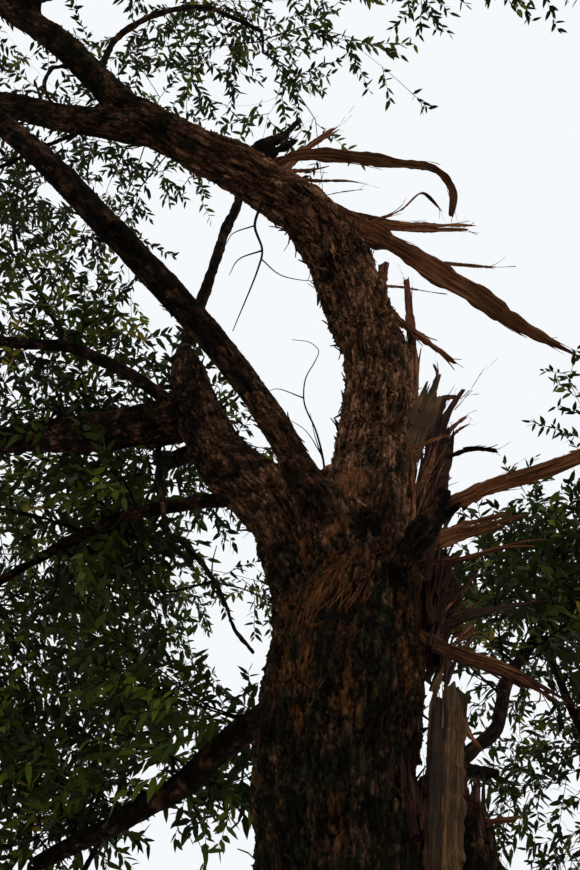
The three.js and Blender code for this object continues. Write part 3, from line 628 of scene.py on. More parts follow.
for piece in (butt_bark, stem_bark, fork_bark, leader_bark, high_bark, left_bark, front_bark):
    at, facing = points_of(piece), normals_of(piece)
    ragged = 0.35 * waves(at * (1, 1, 0.4), 16, 5)
    torn = np.clip((facing[:, 0] - BARE_FACING + ragged) * 6, 0, 1) * (at[:, 0] > 0)
    above = np.clip((at[:, 2] - BARE_FROM + 0.3 * ragged) * 6, 0, 1)
    below = np.clip((BARE_TO - at[:, 2] + 0.4 * ragged) * 6, 0, 1)
    torn *= above * below
    stump = (at[:, 0] > STUMP_SIDE) & (at[:, 2] < STUMP_TO) & (at[:, 2] > STUMP_FROM)
    torn = np.where(stump, np.clip((at[:, 2] - STUMP_TORN + 0.1 * ragged) * 8, 0, 1), torn)
    masked(piece, "bare", torn)
    scar = 1 - np.linalg.norm((at - knot) / KNOT_REACH, axis=1) + 0.9 * ragged
    masked(piece, "scar", 0.85 * np.clip(scar * 3, 0, 1))
    # Painted shade: the bark darkens round each of those places, and by half on the broken half's
    # stump, which lies in shadow.
    deep = np.zeros(len(at))
    for shade_centre, reach in shade_centres:
        away = np.linalg.norm((at - shade_centre) * (1, 0.7, 0.8), axis=1) / reach
        deep = np.maximum(deep, np.clip((1 - away + 0.8 * ragged) * 2.5, 0, 1))
    masked(piece, "hollow", np.maximum(0.8 * deep, 0.5 * stump))
    on_leader = eased(at[:, 2], WARM_FROM, WARM_TO)
    on_leader = on_leader * (1 - 0.8 * eased(-at[:, 0], CROWN_FROM, CROWN_TO))
    warmth = {"left_bark": 0.22, "front_bark": 0.04}.get(piece.name, on_leader)
    masked(piece, "warmth", warmth + np.zeros(len(at)))
dressed(butt_bark, trunk_finish, "bark", "trunk")
dressed(stem_bark, trunk_finish, "bark", "trunk")
dressed(fork_bark, trunk_finish, "bark", "trunk")
dressed(leader_bark, trunk_finish, "bark", "leader_lower", "leader_upper")
dressed(high_bark, trunk_finish, "bark", "leader_upper", "leader_high", "leader_low")
dressed(left_bark, bough_finish, "bark", "left_bough", "left_outer_bough")
dressed(front_bark, bough_finish, "bark", "front_bough", "front_outer_bough")


# Loose flakes of bark, dry and brittle, that curl away from the limbs at one end. They are
# the rough edge that each limb shows.
FLAKE_LENGTHS, FLAKE_WIDTHS, FLAKE_LIFTS = (0.016, 0.1), (0.007, 0.02), (0.03, 0.5)
FLAKE_THICKNESS, FLAKE_SUNK = 0.004, 0.003  # metres
FLAKES = [(stem_bark, 700), (fork_bark, 1100), (leader_bark, 1500), (high_bark, 600),
          (left_bark, 450), (front_bark, 220)]  # how many on each


def mesh_piece(name, corners, faces, finishes, dealt=None):
    """One object from arrays, with its materials dealt out by face."""
    mesh = bpy.data.meshes.new(name)
    mesh.from_pydata(corners, [], faces)
    for finish in finishes:
        mesh.materials.append(finish)
    if dealt is not None:
        mesh.polygons.foreach_set("material_index", dealt)
    mesh.update()
    piece = bpy.data.objects.new(name, mesh)
    bpy.context.scene.collection.objects.link(piece)
    return piece


def curled_flakes(name, skin, count, seed):
    """Thin curled chips that stand off the skin at one end, most of them along its grain."""
    draw = np.random.default_rng(seed)
    at, facing = points_of(skin), normals_of(skin)
    clumps = np.exp(4 * waves(at, 15, seed))
    picked = draw.choice(len(at), count, replace=False, p=clumps / clumps.sum())
    at, facing = at[picked], facing[picked]
    runs = [smooth(walk(start, legs), 40) for start, legs, *_ in LIMBS.values()]
    runs += [smooth(np.array(STEM) / 1000, 40), smooth(np.array(BROKEN_HALF) / 1000, 40)]
    ways = np.concatenate([np.gradient(run, axis=0) for run in runs])
    runs = np.concatenate(runs)
    near = np.array([np.argmin(((runs - p) ** 2).sum(1)) for p in at])
    way = ways[near] / np.linalg.norm(ways[near], axis=1)[:, None]
    way = way * draw.choice([-1, 1], (count, 1))
    way += 0.3 * draw.normal(size=(count, 3))
    way -= facing * (way * facing).sum(1)[:, None]
    way /= np.linalg.norm(way, axis=1)[:, None]
    side = np.cross(facing, way)
    shortest, longest = FLAKE_LENGTHS
    length = shortest + (longest - shortest) * draw.uniform(0, 1, (count, 1)) ** 3
    wide = draw.uniform(*FLAKE_WIDTHS, (count, 1)) / 2
    lift = draw.uniform(*FLAKE_LIFTS, (count, 1)) * length
    rows = []
    for share, breadth in ((0, 0.8), (0.5, 1.0), (1, 0.3)):  # along the flake, and how broad
        middle = at - FLAKE_SUNK * facing + way * length * share + facing * lift * share ** 2
        for out, deep in ((-1, 0), (1, 0), (1, 1), (-1, 1)):
            rows.append(middle + side * wide * breadth * out + facing * FLAKE_THICKNESS * deep)
    corners = np.stack(rows, axis=1).reshape(-1, 3)
    faces = [(0, 1, 2), (0, 2, 3), (8, 10, 9), (8, 11, 10)]
    for r in (0, 4):
        for i in range(4):
            a, b = r + i, r + (i + 1) % 4
            faces += [(a, a + 4, b + 4), (a, b + 4, b)]
    faces = np.array(faces)[None] + 12 * np.arange(count)[:, None, None]
    piece = mesh_piece(name, corners, faces.reshape(-1, 3), [])
    straight = np.repeat(np.c_[at @ (0, 0, 1), at[:, :2]], 12, axis=0) + np.tile(
        [[0, 0, 0]] * 4 + [[0.02, 0, 0]] * 4 + [[0.04, 0, 0]] * 4, (count, 1))
    grain = piece.data.attributes.new("grain", "FLOAT_VECTOR", "POINT")
    grain.data.foreach_set("vector", straight.ravel())
    masked(piece, "relief", np.repeat(draw.uniform(-0.1, 0.7, count), 12))
    warmth = np.empty(len(skin.data.vertices))
    skin.data.attributes["warmth"].data.foreach_get("value", warmth)
    masked(piece, "warmth", np.repeat(warmth[picked], 12))
    return piece


for seed, (skin, count) in enumerate(FLAKES):
    finish = bough_finish if skin in (left_bark, front_bark) else trunk_finish
    dressed(curled_flakes(skin.name + "_flakes", skin, count, 40 + seed), finish, "bark")


# The thinner boughs: younger limbs with tighter bark. Each is one bent blank whose foot is
# buried in its parent.
BOUGHS = {
    "left_side_bough": ([-860, 110, 7180], [[430, -179, 44], [480, 167, 43], [620, 157, 35],
                        [760, 167, 45]], 36, 24),
    "left_inner_bough": ([-890, 140, 7620], [[630, 7, 82], [740, 22, 82], [580, 34, 81],
                         [1390, 117, 75]], 34, 24),
    "left_low_bough": ([-430, 80, 6510], [[580, 148, 22], [290, 157, 8], [350, 139, 13],
                       [610, 140, 6]], 38, 24),
    "back_left_bough": ([-90, 210, 5350], [[430, 142, 18], [630, 129, -1], [540, 132, 6],
                        [570, 133, 8]], 72, 42),
    "back_right_bough": ([90, 120, 4640], [[700, 29, 53], [220, 36, 50], [390, 53, 65],
                         [710, 61, 51], [1240, 65, 48], [890, 51, 44]], 32, 24),
    "back_bough": ([-680, 120, 6900], [[700, 118, 40], [800, 104, 45], [900, 96, 30]], 52, 28),
    "arch_bough": ([-1400, -830, 9065], [[520, -12, 80], [360, 0, 53], [350, 11, 38],
                   [450, 35, 23]], 22, 13),
    "crown_right_bough": ([-2000, -905, 9830], [[620, -60, 58], [900, -28, 44],
                          [1000, 0, 40]], 58, 30),
    "crown_top_bough": ([-2080, -895, 9970], [[700, 42, 64], [900, 20, 66]], 58, 30),
    "right_low_bough": ([1060, 1260, 6640], [[700, 68, -5], [350, 60, -10]], 26, 18),
    "front_top_bough": ([-1860, -905, 9630], [[700, -82, 45], [700, -95, 35],
                        [500, -100, 25]], 58, 30),
}
BOUGH_RING = 0.016  # metres from ring to ring of a bough
tight_bark = bark_relief("tight bark relief", depth=0.05, wander=0.03, size=0.8)
for name, (start, legs, foot, tip) in BOUGHS.items():
    line = smooth(walk(start, legs), 80)
    radii = limb_radii(foot, tip, 0.35, length_of(line))
    piece = bent_blank(name + "_bark", line, radii, sides=18,
                       rings=int(length_of(line) / BOUGH_RING))
    finished(piece, "NODES", node_group=tight_bark)
    choose(piece)
    bpy.ops.object.shade_smooth()
    dressed(piece, bough_finish, "bark", name)


# The torn wood: long-grained heartwood that split along its fibres when the second leader
# came down. Each splinter is a bundle of strips laid side by side, every one with its own end.
SPLINTERS = {  # start, legs, width, thickness, the way its flat side looks, ends, split, blunt
    "torn_limb": ([50, -20, 5690], [[340, -63, 9], [210, -26, 48], [90, 2, 56]],
                  130, 110, [0, -0.8, -0.6], [1], 0, 0.8),
    "torn_plate_low": ([235, 205, 5590], [[310, -42, 62], [220, -57, 65]],
                       235, 60, [0.3, -1, -0.4], [0.8, 1, 0.88, 0.95], 0.4, 0.5),
    "torn_plate_high": ([195, 70, 5890], [[380, 2, 71], [420, -6, 79], [360, -19, 77],
                        [280, 4, 65]], 146, 50, [0.2, -1, -0.4], [0.79, 1, 0.9], 0.5, 0.35),
    "pale_slab": ([208, -205, 4080], [[480, -45, 83], [320, -2, 83], [330, 2, 84]],
                  138, 50, [0.25, -1, -0.2], [0.87, 0.9, 0.8], 0.6, 0.86),
    "pale_blade": ([170, -70, 6220], [[250, -54, 71], [210, -13, 72], [210, -6, 69],
                   [280, -4, 71]], 140, 28, [0.2, -1, -0.6], [0.84, 1, 0.9], 0.4, 0.15),
    "torn_limb_splinter": ([335, -365, 5925], [[240, -18, 15], [240, -22, 2], [270, -24, 5]],
                           64, 34, [0, -0.7, -0.7], [0.9, 1], 0.3, 0.7),
    "broken_stub": ([145, -50, 4680], [[215, 20, 55], [260, 48, 28], [180, 44, 22]],
                    62, 48, [0, -0.7, -0.7], [1], 0, 0.8),
    "red_strip": ([205, 80, 5640], [[260, -22, -45], [230, -25, -39], [180, -16, -46],
                  [240, -10, -44]], 66, 22, [0.1, -0.8, -0.6], [0.72, 0.88, 1], 0.1, 0.3),
    "dark_splinter": ([195, 85, 5590], [[300, 10, 34], [330, 22, 31], [260, 22, 27]],
                      46, 26, [0, -0.8, -0.6], [1], 0, 0.06),
    "frayed_splinter": ([190, 0, 6000], [[320, -3, 28], [180, 1, 21], [160, 4, 21]],
                        88, 24, [0, -0.8, -0.6], [0.78, 1, 0.9], 0.4, 0.3),
    "thin_splinter": ([190, -18, 5940], [[270, -4, 3], [160, -26, -2], [160, -24, -4]],
                      34, 18, [0, -0.8, -0.6], [1], 0, 0.1),
    "upright_splinter": ([210, -150, 6630], [[310, -24, 74], [460, -47, 85], [490, -84, 86]],
                         58, 34, [0.1, -0.8, -0.6], [1], 0, 0.5),
    "hooked_splinter": ([185, -270, 7540], [[280, 8, -52], [140, 8, -47], [110, 19, -43]],
                        44, 22, [0, -0.6, -0.8], [1], 0, 0.2),
    "long_splinter": ([-115, -470, 8155], [[450, 8, -34], [310, 17, -35], [200, 16, -31],
                      [250, 22, -33], [390, 15, -30]], 122, 36, [-0.1, -0.6, -0.8],
                      [1], 0.45, 0.05),
    "flat_splinter": ([-105, -470, 8205], [[330, 13, -9], [270, 15, 15], [310, 10, 18]],
                      56, 24, [-0.1, -0.6, -0.8], [0.92, 1], 0.4, 0.4),
    "split_arc": ([10, -400, 8005], [[170, -10, 42], [240, 5, 43], [210, -7, 48],
                  [150, 40, -26]], 22, 16, [0, -0.6, -0.8], [1], 0, 0.2),
    "peeled_strip": ([-470, -590, 8330], [[230, -35, -6], [290, 0, 0], [250, 6, -5],
                     [240, 13, 5], [160, 50, -12], [160, 100, -40]], 66, 20,
                     [0, -0.55, -0.85], [1], 0.3, 0.5),
    "stub_blade": ([-400, -575, 8290], [[310, -12, 58], [380, -4, 51]],
                   56, 26, [0, -0.6, -0.8], [1], 0, 0.5),
    "torn_knot": ([-570, -590, 8350], [[230, -13, 58], [180, 2, 48], [220, 0, 64]],
                  128, 80, [0, -0.6, -0.8], [0.8, 1], 0, 0.3),
    "stub_twig": ([395, 75, 6716], [[165, -18, 14], [50, -8, 7], [120, 4, -3]],
                  24, 20, [0, -0.6, -0.8], [1], 0, 0.7),
}
PALE = {"pale_slab", "pale_blade"}
BARKED = {"torn_limb", "torn_knot", "stub_twig", "broken_stub"}
DARK = {"torn_plate_high", "torn_plate_low", "dark_splinter"}
SHADES = {"pale_slab": (1, 1, 0.33), "peeled_strip": (0.6,), "upright_splinter": (0.75,),
          "red_strip": (0.55, 0.8, 0.5)}  # how light each board is, where it matters


def wood_finish(name, dark, mid, light, gloss):
    """Split heartwood: dry long fibres with no finish on them, streaked lengthwise by its
    growth rings, each streak a few millimetres wide and a hand or more long."""
    made = bpy.data.materials.new(name)
    made.use_nodes = True
    tree = made.node_tree
    tree.nodes.clear()
    grain = node(tree, "ShaderNodeAttribute", attribute_name="grain").outputs["Vector"]
    patterns = []
    for scale, detail in (((5, 120, 120), 4.0),  # streaks 8 mm wide and 200 mm long
                          ((20, 420, 420), 3.0)):  # fibres 2.4 mm wide and 50 mm long
        run = node(tree, "ShaderNodeVectorMath", {0: grain, 1: scale}, operation="MULTIPLY")
        patterns.append(node(tree, "ShaderNodeTexNoise", {
            "Vector": run, "Scale": 1.0, "Detail": detail, "Roughness": 0.6}))
    streak, fibre = patterns
    tone = node(tree, "ShaderNodeMapRange", {"Value": streak, 1: 0.3, 2: 0.72})
    ramp = node(tree, "ShaderNodeValToRGB", {"Fac": tone})
    stops = ramp.color_ramp.elements
    stops[0].position, stops[0].color = 0.0, linear(dark)
    stops[1].position, stops[1].color = 1.0, linear(light)
    stops.new(0.45).color = linear(mid)
    # Damp and dry stretches about 200 mm across, and each board's own lightness.
    place = node(tree, "ShaderNodeTexCoord").outputs["Object"]
    damp = node(tree, "ShaderNodeTexNoise", {"Vector": place, "Scale": 5.0, "Detail": 3.0})
    damp = node(tree, "ShaderNodeMapRange", {"Value": damp, 1: 0.35, 2: 0.65, 3: 0.6, 4: 1.15})
    shade = node(tree, "ShaderNodeAttribute", attribute_name="shade").outputs["Fac"]
    damp = node(tree, "ShaderNodeMath", {0: damp, 1: shade}, operation="MULTIPLY")
    colour = node(tree, "ShaderNodeVectorMath", {0: ramp.outputs["Color"], "Scale": damp},
                  operation="SCALE")
    bumps = node(tree, "ShaderNodeMath", {0: streak, 1: fibre}, operation="ADD")
    bump = node(tree, "ShaderNodeBump", {"Height": bumps, "Strength": 0.8, "Distance": 0.004})
    shader = node(tree, "ShaderNodeBsdfPrincipled", {"Base Color": colour, "Roughness": gloss,
                                                     "Specular IOR Level": 0.1, "Normal": bump})
    node(tree, "ShaderNodeOutputMaterial", {"Surface": shader})
    return made


torn_finish = wood_finish("torn red heartwood", "#1c0b05", "#532d17", "#8e6340", 0.85)
dark_finish = wood_finish("old torn heartwood", "#0a0402", "#25130a", "#4a2b19", 0.88)
slab_finish = wood_finish("weathered pale wood", "#180d05", "#3b2814", "#62472c", 0.8)
blade_finish = wood_finish("fresh tan wood", "#190f06", "#3c2912", "#624826", 0.78)
crust_finish = bark_finish("torn bark crust", ("#050402", "#15100a", "#33261a"), WARM, "#0e0d08",
                           "#3a1e0e", 0.28)
split_wood = bark_relief("split wood relief", depth=0.012, wander=0.004, size=0.3, run=3.0)
SLIVER_WIDTH, HAIR_WIDTH = 0.0055, 0.0014  # half the breadth of a sliver, and of a hair
BOARD_RING, BOARD_EDGE = 0.012, 0.008  # metres from ring to ring, and from edge to edge
BOARD_SPREAD, BOARD_LAP = 0.85, 0.62  # shares of the whole width: the boards' middles, half of one
SLIVER_SPACING, HAIR_SPACING = 14, 50  # millimetres of width for each one


def splinter(name, spec, seed, slivers=None, shades=None):
    """One board for each prong, torn ragged at its end, with slivers lifting from its faces
    and a few hairs of wood sprung from its tip."""
    start, legs, width, thick, face, prongs, split, blunt = spec
    draw = np.random.default_rng(seed)
    steps = np.linspace(0, 1, 90)
    line = smooth(walk(start, legs), 90)
    length = length_of(line)
    tangent = np.gradient(line, axis=0)
    tangent /= np.linalg.norm(tangent, axis=1)[:, None]
    across = np.cross(np.array(face, float), tangent)
    across /= np.linalg.norm(across, axis=1)[:, None]
    through = np.cross(tangent, across)

    def at(values, t):
        return np.stack([np.interp(t, steps, values[:, a]) for a in range(3)], axis=1)

    def narrowed(t):
        return 1 - (1 - blunt) * np.clip((t - split) / (1 - split), 0, 1) ** 1.5

    parts = []
    for k, share in enumerate(prongs):
        offset = ((k + 0.5) / len(prongs) - 0.5) * BOARD_SPREAD * width / 1000
        half = (BOARD_LAP if len(prongs) > 1 else 0.5) * width / len(prongs) / 1000
        t = np.linspace(0, share, 80)
        uneven = 1
        for sway, knots in ((0.14, 14), (0.13, 44)):  # its edges wander broadly, then finely
            uneven = uneven + sway * np.interp(t, np.linspace(0, 1, knots), draw.normal(size=knots))
        sides = int(np.clip(half * 4 / BOARD_EDGE, 12, 44))
        teeth = draw.uniform(0, 1, sides) ** 2 * min(0.2, 0.3 * length * share)
        shade = shades[k] if shades else draw.uniform(0.75, 1.1)
        parts.append(bent_blank("board", at(line, t) + at(across, t) * offset,
                                half * narrowed(t) * uneven, sides, int(length * share / BOARD_RING),
                                flat=thick / 2000 / half * 0.9, face=face, ragged=teeth, shade=shade))
    for k in range(4 + int(width / SLIVER_SPACING) if slivers is None else slivers):
        first = draw.uniform(0.05, 0.7)
        last = min(first + draw.uniform(0.2, 0.5), max(prongs) + draw.uniform(-0.05, 0.05))
        t = np.linspace(first, min(last, 1), 30)
        u = np.linspace(0, 1, 30)[:, None]
        aside, lift = draw.uniform(-0.5, 0.5), draw.choice([-0.5, 0.5])
        sprung = (u ** 2.5) * draw.uniform(0.0, 0.035)
        kept = narrowed(t)[:, None]
        own = at(line, t)
        own = own + at(across, t) * (aside * width / 1000 * kept + sprung * np.sign(aside))
        own += at(through, t) * (lift * thick / 1000 * kept + 0.6 * sprung * np.sign(lift))
        own += (0, 0, -0.4) * (u ** 2 * 0.02)
        radii = SLIVER_WIDTH * draw.uniform(0.6, 1.5) * np.linspace(1, 0.12, 30)
        parts.append(bent_blank("sliver", own, radii, sides=6, rings=16, flat=0.5, face=face,
                                shade=draw.uniform(0.5, 1.2)))
    for k in range(2 + int(width / HAIR_SPACING)):
        share = prongs[draw.integers(len(prongs))]
        foot = at(line, np.array([share * draw.uniform(0.8, 0.97)]))[0]
        way = at(tangent, np.array([share]))[0] + 0.35 * draw.normal(size=3)
        u = np.linspace(0, 1, 12)[:, None]
        own = foot + way * draw.uniform(0.05, 0.13) * u + draw.normal(size=3) * 0.02 * u ** 2
        parts.append(bent_blank("hair", own, HAIR_WIDTH * np.linspace(1, 0.4, 12),
                                sides=4, rings=8))
    whole = joined(name + "_wood", parts)
    finished(whole, "NODES", node_group=split_wood)
    choose(whole)
    bpy.ops.object.shade_smooth_by_angle(angle=math.radians(40))
    return whole


for seed, (name, spec) in enumerate(SPLINTERS.items()):
    piece = splinter(name, spec, 300 + seed, shades=SHADES.get(name))
    if name in PALE:
        dressed(piece, slab_finish if name == "pale_slab" else blade_finish, "pale_wood", name)
    elif name in BARKED:
        slot = "bark" if name in ("torn_limb", "torn_knot", "stub_twig") else "torn_wood"
        dressed(piece, crust_finish, slot, name)
    else:
        dressed(piece, dark_finish if name in DARK else torn_finish, "torn_wood", name)


# The small splinters and the bare twigs, too thin for the solids: strips a finger wide and
# less, still held at one end by the wood that they tore from, and twigs that died on the limb.
SMALL = {  # start, legs, foot width, tip width
    "knot_prong": ([-455, -590, 8375], [[260, 7, -8], [210, 5, 7], [85, 0, -15]], 30, 6),
    "knot_spike": ([-450, -590, 8330], [[145, 4, 25], [180, 7, 22], [80, 0, 25]], 34, 5),
    "wound_hair": ([-190, -520, 8195], [[155, 0, 28], [170, 0, 15]], 8, 3),
    "long_prong": ([445, -320, 7895], [[115, 10, 6], [240, 2, -6]], 24, 8),
    "leader_spike": ([165, -330, 7650], [[105, 5, 3], [100, 6, -7]], 18, 5),
    "plate_finger": ([440, 60, 7110], [[180, 0, 89], [140, 0, 79], [80, 180, 79]], 34, 8),
    "plate_hair": ([540, 90, 7150], [[125, 0, 58], [275, 0, 64]], 7, 2),
    "blade_sliver": ([185, -150, 6515], [[180, 0, 31], [140, 5, 34]], 16, 8),
    "plate_prong": ([445, 90, 6910], [[145, 0, 54], [110, 0, 47]], 34, 10),
    "plate_thorn": ([440, 90, 6835], [[185, 0, 56], [90, 0, 38]], 26, 6),
    "plate_hook": ([425, 90, 7190], [[90, 0, 39], [95, 0, 5]], 36, 18),
    "red_sliver": ([365, -100, 5060], [[110, 0, -80], [95, 0, -62]], 24, 10),
    "straight_sliver": ([290, 100, 5650], [[230, 0, 55], [225, 0, 55]], 18, 6),
    "slab_sliver": ([215, -235, 4800], [[255, -7, 81], [210, -4, 70]], 34, 8),
    "slab_thorn": ([240, -235, 4800], [[110, -17, 81], [80, 0, 80]], 14, 4),
    "frayed_end": ([345, -100, 4550], [[90, -6, 4], [105, -5, 5]], 40, 14),
    "leader_stub": ([165, -215, 7635], [[190, -22, 82], [200, -24, 84]], 62, 50),
    "slab_edge": ([170, -245, 4235], [[280, 15, 86], [280, 0, 84], [55, 0, 89]], 46, 36),
    "limb_thorn": ([590, -420, 6025], [[105, 0, 54], [60, 0, 61]], 20, 5),
    "limb_end": ([800, -490, 6020], [[80, 0, 29], [80, 0, 19]], 26, 5),
}
for seed, (name, (start, legs, foot, tip)) in enumerate(SMALL.items()):
    spec = (start, legs, foot, 0.5 * foot, [0, -0.7, -0.7], [1], 0, tip / foot)
    pale_one = name in ("slab_sliver", "slab_thorn")
    finish = slab_finish if pale_one else dark_finish if name == "slab_edge" else torn_finish
    dressed(splinter(name, spec, 500 + seed, slivers=1 if foot > 20 else 0), finish,
            "pale_wood" if pale_one else "torn_wood")
DEAD_TWIGS = {  # start, legs, foot radius, tip radius
    "dead_twig": ([-445, -720, 7825], [[250, -147, -82], [265, -27, -80], [190, -128, -82],
                  [565, -159, -79]], 8, 2),
    "dead_side": ([-433, -760, 7316], [[120, 165, -15], [110, 150, -62]], 4.5, 1.5),
    "dead_fork": ([-474, -739, 7577], [[120, 172, -25], [90, 160, -68]], 4, 1.5),
    "dead_curl": ([-438, -772, 7225], [[150, 12, -48], [150, 4, -12], [90, 0, 12]], 3.5, 1),
    "bare_twig": ([-145, -150, 6310], [[160, 0, 90], [190, -131, 74], [140, -147, 67],
                  [65, -132, 78], [145, -43, 84], [140, -11, 69], [70, -32, 75], [70, -167, 50],
                  [90, -174, 7]], 6, 1.5),
    "bare_side": ([-235, -230, 6845], [[130, -166, 14], [65, -157, -39]], 3.5, 1.2),
    "side_rise": ([-1525, 195, 7840], [[310, 159, 68], [350, 170, 66],
                   [385, 173, 65], [325, -177, 52]], 15, 8),
    "side_up": ([-1995, 280, 8955], [[405, -172, 80], [395, -154, 85], [425, -174, 77]], 11, 6),
    "crossing": ([-1305, -700, 8810], [[240, 155, -6], [230, 154, 8],
                   [220, 153, -1], [140, 159, -6]], 17, 11),
    "hook": ([-1575, -890, 9050], [[100, 156, 19], [95, 147, -67],
                   [145, 49, -74], [125, 18, -58]], 14, 9),
    "low_fork": ([-985, 1150, 5570], [[270, 132, -6], [175, 118, -13], [160, 125, -39]], 22, 12),
    "low_side": ([-1320, 430, 6610], [[235, -177, 21], [255, -178, 13]], 12, 8),
    "star_left": ([-655, 190, 6035], [[215, 161, 1], [215, 163, 19]], 6, 3),
    "star_right": ([-655, 190, 6035], [[155, 11, -8], [130, 10, -28]], 5, 2),
    "star_up": ([-655, 190, 6035], [[170, 96, 76], [145, 68, 77]], 5, 2),
    "left_drop": ([-1410, 380, 6420], [[290, 0, -89], [215, 180, -79]], 11, 6),
    "bare_low": ([-154, -160, 6510], [[160, -153, 57], [145, -162, 28]], 3, 1),
    "bare_fine": ([-151, -157, 6495], [[125, -136, 69], [155, -138, 79]], 3, 1),
    "hanging_branch": ([-990, 330, 7195], [[325, -48, -81], [225, -39, -78], [250, -39, -79],
                       [100, -9, -51], [185, -11, -56], [220, -6, -63], [250, -8, -72],
                       [165, 0, -59]], 17, 8),
}
for name, (start, legs, foot, tip) in DEAD_TWIGS.items():
    line = smooth(walk(start, legs), 90)
    radii = limb_radii(foot, tip, 0.3, length_of(line))
    piece = bent_blank(name, line, radii, sides=9, rings=int(length_of(line) / BOARD_RING))
    if foot > 10:  # the thinner ones have smooth bark
        finished(piece, "NODES", node_group=tight_bark)
    choose(piece)
    bpy.ops.object.shade_smooth()
    dressed(piece, bough_finish, "bark")


# Stringy bark: round the collar below the fork the bark has parted into rusty strings that
# lie on the trunk, thin as cord, and follow the swelling down to the left. The bark under
# them is stained with rust, and so it is in a few streaks lower down.
STRINGS = [  # pixels of the photograph that each band of strings passes, from its upper end
    [(392, 548), (372, 552), (345, 562), (322, 582), (306, 604), (297, 624)],
    [(346, 574), (332, 590), (316, 612), (306, 640), (302, 664)],
    [(336, 556), (318, 576), (303, 596), (295, 610)],
    [(366, 572), (356, 592), (348, 606)],
]
STREAKS = [[(343, 628), (346, 665), (343, 700)], [(400, 600), (404, 640), (403, 690)],
           [(303, 664), (300, 690), (296, 730)], [(288, 600), (283, 640), (280, 700)],
           [(330, 800), (334, 850)], [(345, 520), (330, 535)], [(300, 540), (310, 560)]]
STRINGS_PER_BAND, STRING_WIDTH, STAIN_REACH = 26, 0.0016, 0.055
string_finish = wood_finish("rusty bark string", "#1a0c05", "#4c2a14", "#875a34", 0.9)
draw = np.random.default_rng(77)
strings, stained = [], []
for band in STRINGS + STREAKS:
    stained.append(smooth([seen(pixel, stem_bark, fork_bark)[0] for pixel in band], 24))
stained = np.concatenate(stained)
for skin in (stem_bark, fork_bark):
    at = points_of(skin)
    away = np.min([np.linalg.norm(at - spot, axis=1) for spot in stained], axis=0) / STAIN_REACH
    masked(skin, "rust", 0.9 * np.clip((1 - away + 0.8 * waves(at * (1, 1, 0.5), 30, 9)) * 2, 0, 1))
for band in STRINGS:
    for k in range(STRINGS_PER_BAND):
        shift = draw.normal(size=2) * (7, 5)
        first = draw.integers(0, len(band) - 1)
        last = min(len(band), first + draw.integers(1, 3) + 1)
        places = [seen(np.array(pixel) + shift + draw.normal(size=2) * 2.5, stem_bark, fork_bark)
                  for pixel in band[first:last]]
        line = smooth([place + facing * draw.uniform(-0.003, 0.006) for place, facing in places], 30)
        radii = STRING_WIDTH * draw.uniform(0.5, 1.5) * np.array([0.3, 1, 1.1, 0.8, 0.2])
        strings.append(bent_blank("string", line, radii, sides=5, rings=20, flat=0.6,
                                  face=(0, -0.8, -0.6), shade=draw.uniform(0.5, 1.2)))
dressed(joined("bark_strings", strings), string_finish, "bark")


# The shards: hundreds of stiff upright slivers of heartwood, as a trunk leaves them where it
# was wrenched apart. They stand on the broken half, and between the leader and the torn plates.
SHARD_FIELDS = {  # middle of the foot, its reach, count, lengths, lean to +X, widths, finish
    # The stump's shards are dark torn wood, and their dark finish also stands for painted shadow, since
    # the broken half lies in shade.
    "stump_shards": ([176, 34, 4480], [262, 262, 70], 420, (90, 300), 0.03, (12, 42), dark_finish),
    "plate_spikes": ([385, 95, 6250], [45, 60, 620], 90, (50, 170), 1.1, (7, 20), dark_finish),
    "low_spikes": ([400, 160, 5750], [45, 60, 200], 40, (50, 190), 1.3, (7, 20), torn_finish),
    "slab_shards": ([150, -190, 4420], [50, 60, 80], 22, (120, 300), 0.02, (6, 16), dark_finish),
    "heart_shards": ([265, 60, 5950], [75, 110, 230], 110, (260, 620), 0.16, (10, 30), dark_finish),
    "low_shards": ([285, 130, 5560], [85, 120, 160], 80, (160, 420), 0.22, (10, 34), dark_finish),
    "blade_shards": ([215, -60, 6200], [40, 50, 120], 34, (240, 520), 0.3, (8, 22), torn_finish),
}


